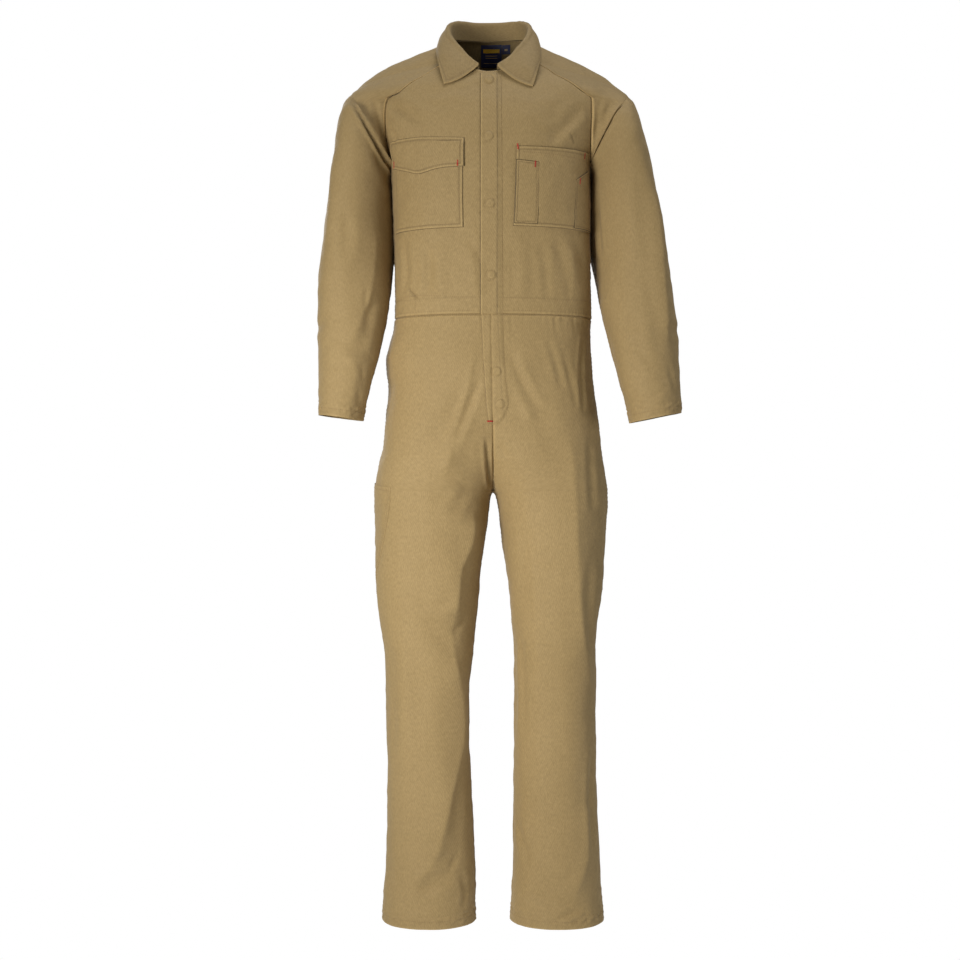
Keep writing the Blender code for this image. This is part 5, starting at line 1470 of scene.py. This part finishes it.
def stitchTree():
    tree = bpy.data.node_groups.new("stitches along a line", "GeometryNodeTree")
    face = tree.interface
    face.new_socket(name="Geometry", in_out="INPUT", socket_type="NodeSocketGeometry")
    for name in ("Pitch", "Long", "Wide", "High"):
        face.new_socket(name=name, in_out="INPUT", socket_type="NodeSocketFloat")
    face.new_socket(name="Thread", in_out="INPUT", socket_type="NodeSocketMaterial")
    face.new_socket(name="Geometry", in_out="OUTPUT", socket_type="NodeSocketGeometry")
    into = tree.nodes.new("NodeGroupInput").outputs
    line = addNode(tree, "GeometryNodeMeshToCurve", {}, {0: into["Geometry"]})
    even = addNode(tree, "GeometryNodeResampleCurve", {"mode": "LENGTH"},
                   {"Curve": line.outputs[0], "Length": into["Pitch"]})
    ahead = addNode(tree, "GeometryNodeInputTangent")
    away = addNode(tree, "GeometryNodeInputNamedAttribute", {"data_type": "FLOAT_VECTOR", "Name": "outward"})
    turn = addNode(tree, "FunctionNodeAlignRotationToVector", {"axis": "X"}, {"Vector": ahead.outputs[0]})
    stand = addNode(tree, "FunctionNodeAlignRotationToVector", {"axis": "Z", "pivot_axis": "X"},
                    {"Rotation": turn.outputs[0], "Vector": away.outputs["Attribute"]})
    size = addNode(tree, "ShaderNodeCombineXYZ", {}, {0: into["Long"], 1: into["Wide"], 2: into["High"]})
    bead = addNode(tree, "GeometryNodeMeshUVSphere", {"Segments": 5, "Rings": 3, "Radius": 0.5})
    put = addNode(tree, "GeometryNodeInstanceOnPoints", {},
                  {"Points": even.outputs[0], "Instance": bead.outputs["Mesh"], "Rotation": stand.outputs[0],
                   "Scale": size.outputs[0]})
    real = addNode(tree, "GeometryNodeRealizeInstances", {}, {0: put.outputs[0]})
    smooth = addNode(tree, "GeometryNodeSetShadeSmooth", {}, {0: real.outputs[0]})
    paint = addNode(tree, "GeometryNodeSetMaterial", {},
                    {"Geometry": smooth.outputs[0], "Material": into["Thread"]})
    last = tree.nodes.new("NodeGroupOutput")
    tree.links.new(paint.outputs[0], last.inputs[0])
    return tree


stitches = stitchTree()


def sew(name, lines, settings, paint):
    verts, edges, outs = [], [], []
    for points, away in lines:
        start = len(verts)
        verts += (np.array(points) * mm).tolist()
        outs += np.array(away).tolist()
        edges += [(start + i, start + i + 1) for i in range(len(points) - 1)]
    mesh = bpy.data.meshes.new(name + " line")
    mesh.from_pydata(verts, edges, [])
    mesh.attributes.new("outward", "FLOAT_VECTOR", "POINT").data.foreach_set(
        "vector", np.array(outs, np.float32).reshape(-1))
    guide = bpy.data.objects.new(name + " line", mesh)
    scene.collection.objects.link(guide)
    tool = guide.modifiers.new("stitches", "NODES")
    tool.node_group = stitches
    for item in stitches.interface.items_tree:
        key = item.name.lower()
        if item.in_out == "INPUT" and key in settings:
            tool[item.identifier] = settings[key] * mm
        elif item.in_out == "INPUT" and key == "thread":
            tool[item.identifier] = paint
    bpy.context.view_layer.update()
    graph = bpy.context.evaluated_depsgraph_get()
    made = bpy.data.meshes.new_from_object(guide.evaluated_get(graph))
    made.name = name
    piece = bpy.data.objects.new(name, made)
    scene.collection.objects.link(piece)
    bpy.data.objects.remove(guide, do_unlink=True)
    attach(piece, "root")
    print(name, len(made.polygons), "faces")


def beside(name, edge, distance, begin=0.0, end=1.0):
    # a line at one distance inside a panel's edge
    grid, away = outer[name], outerNormals[name]
    around = name.startswith("sleeve")
    gaps = edgeGaps(grid, around)[edge]
    if edge in ("low", "high"):
        grid, away, gaps = grid.transpose(1, 0, 2), away.transpose(1, 0, 2), gaps.T
    if edge in ("last", "high"):
        grid, away, gaps = grid[:, ::-1], away[:, ::-1], gaps[:, ::-1]
    count = len(grid)
    rows = range(int(round(begin * (count - 1))), int(round(end * (count - 1))) + 1)
    closed = around and edge in ("low", "high") and begin == 0 and end == 1
    points, outs = [], []
    for r in list(rows) + ([rows[0]] if closed else []):
        points.append([np.interp(distance, gaps[r], grid[r, :, i]) for i in range(3)])
        n = np.array([np.interp(distance, gaps[r], away[r, :, i]) for i in range(3)])
        outs.append(n / np.linalg.norm(n))
    return np.array(points) + np.array(outs) * thread["sink"], outs


dressedFace = Surface(dressed)


def trace(kind, places, spacing=3.0, straight=True):
    # a line over whatever lies outermost, through places on the body
    places = np.array(places, float)
    if not straight:
        t = np.arange(len(places), dtype=float)
        fine = np.linspace(0, len(places) - 1, (len(places) - 1) * 6 + 1)
        rows = {"t": t, "a": places[:, 0], "z": places[:, 1]}
        places = np.stack([along(rows, "t", "a", fine), along(rows, "t", "z", fine)], axis=1)
    points, outs = [], []
    for (a0, z0), (a1, z1) in zip(places[:-1], places[1:]):
        long = math.hypot((a1 - a0) * (1 if kind in ("front", "rear", "inside") else 2.6), z1 - z0)
        count = max(1, int(round(long / spacing)))
        for i in range(count):
            p, n = dressedFace.place(kind, a0 + (a1 - a0) * i / count, z0 + (z1 - z0) * i / count)
            points.append(p)
            outs.append(n)
    p, n = dressedFace.place(kind, *places[-1])
    points.append(p)
    outs.append(n)
    return np.array(points) + np.array(outs) * thread["sink"], outs


khakiThread = spunThread("spunThreadKhaki", "#8E7249")
redThread = spunThread("spunThreadRed", "#BE3327")

bodyLines = [
    trace("front", [(13.4, -50), (16.4, -478)]),
    trace("front", [(-23.0, -49.5), (13.0, -49.0)]),
    trace("body", [(-59, -444), (-30, -449), (-14, -450.5)]),
    trace("body", [(7, -451), (53, -453), (81, -448), (120, -449), (180, -450), (240, -449), (301, -444)]),
    trace("body", [(-73, -449), (-59, -444), (-58.5, -473)]),
    # right chest pocket and flap
    trace("body", [(-73.9, -234), (-73.9, -324.5), (-24.2, -323.5), (-24.0, -228)]),
    trace("body", [(-71.3, -217), (-70.5, -174.5), (-22.6, -180.5), (-22.5, -222)]),
    trace("body", [(-71.5, -211.5), (-61, -220.5), (-51.4, -227.6), (-42, -223.7), (-33, -220.6),
                   (-22.3, -220.5)], straight=False),
    # left chest pocket, pen strip and pencil pocket
    trace("body", [(20.6, -190), (19.8, -321), (76.5, -322.5)]),
    trace("body", [(19.5, -199.5), (44, -201.5), (72.5, -205.5)]),
    trace("body", [(20.0, -216.5), (33.6, -219.5), (33.6, -320)]),
    trace("body", [(73.3, -226.5), (62.7, -243.0), (61.6, -322.0)]),
    trace("body", [(75.0, -226.0), (76.6, -322.0)]),
    trace("body", [(47.5, -315.0), (47.5, -322.0)]),
]
for word, edge, begin in (("right", "first", 0.16), ("left", "last", 0.12)):
    bodyLines.append(beside("front_" + word, "low", cloth["stitchBeside"], begin, 1.0))
    bodyLines += [beside("back", edge, 2.0, 0.0, 0.53), beside("back", edge, 8.0, 0.02, 0.52)]
bodyLines.append(beside("back", "low", cloth["stitchBeside"]))
sew("topstitch_body", bodyLines, thread, khakiThread)

sleeveLines = []
for name in ("sleeve_right", "sleeve_left"):
    sleeveLines += [beside(name, "low", 2.2), beside(name, "low", 8.4)]
    sleeveLines.append(beside(name, "high", hem["stitch"] - 9))
    sleeveLines += [beside(name, "first", distance, 0.03, 0.97) for distance in (2.0, 8.0)]
sew("topstitch_sleeves", sleeveLines, thread, khakiThread)

legLines = [
    # fly and front middle seam
    trace("front", [(15.2, -483), (20.0, -585), (25.6, -632), (19.0, -655), (5.0, -668)], straight=False),
    trace("front", [(-17.5, -672), (-12.5, -780)]),
    trace("front", [(-8.5, -674), (-5.0, -780)]),
    # long pocket
    trace("legRight", [(-41.8, -785), (-42.2, -802), (-43.8, -823), (-50.5, -866), (-62.5, -911),
                       (-74.2, -943), (-84.5, -981), (-111, -982)], straight=False),
    trace("legRight", [(-44.5, -786), (-44.9, -802), (-46.5, -823), (-53.2, -866), (-65.2, -911),
                       (-76.6, -943), (-86, -976), (-110, -977)], straight=False),
    trace("legRight", [(-39.5, -788), (-124, -777)]),
    trace("legRight", [(-122.0, -781), (-121.8, -823), (-119, -867), (-116.2, -915), (-113.5, -950),
                       (-109.5, -986)], straight=False),
]
for word in ("right", "left"):
    for face in ("front", "back"):
        name = "leg_%s_%s" % (face, word)
        legLines += [beside(name, "low", 3.0), beside(name, "high", hem["stitch"] - 8)]
    legLines += [beside("leg_back_" + word, "last", distance, 0.02, 0.98) for distance in (2.0, 8.0)]
for distance in (2.0, 8.0):
    for name, begin, end in (("front_left", 0.45, 0.98), ("front_right", 0.45, 0.98),
                             ("back_left", 0.01, 0.45)):
        legLines.append(beside("leg_" + name, "first", distance, begin, end))
sew("topstitch_legs", legLines, thread, khakiThread)

# collar's edge stitch
rowAt = [int(np.argmin(np.abs(collarGaps["last"][i] - collar["stitch"]))) for i in range(len(collarTop))]
begin = int(np.argmin(np.abs(collarGaps["low"][:, -1] - collar["stitch"])))
end = len(collarTop) - 1 - int(np.argmin(np.abs(collarGaps["high"][::-1, -1] - collar["stitch"])))
path = [(begin, j) for j in range(14, rowAt[begin])] + [(i, rowAt[i]) for i in range(begin, end + 1)]
path += [(end, j) for j in range(rowAt[end] - 1, 13, -1)]
collarLine = (np.array([collarTop[i, j] for i, j in path]), [collarAway[i, j] for i, j in path])
sew("topstitch_collar", [collarLine], thread, khakiThread)

tacks = [trace(kind, ends, 0.8) for kind, ends in (
    ("front", [(-10.4, -666), (-0.8, -666)]), ("body", [(-70.6, -205), (-71.2, -216)]),
    ("body", [(-24, -215), (-24, -225)]), ("body", [(19.9, -186), (19.9, -196)]),
    ("body", [(31.5, -216), (31.5, -226)]), ("body", [(68.0, -191), (68.6, -201)]),
    ("body", [(64.4, -237), (64.4, -247)]))]
sew("bartacks", tacks, tack, redThread)

metal = platedBrass("platedBrassSatin")
for number in range(1, 7):
    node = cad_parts["stud_%d" % number]
    node.data.materials.clear()
    node.data.materials.append(metal)
print("stitches and studs done")
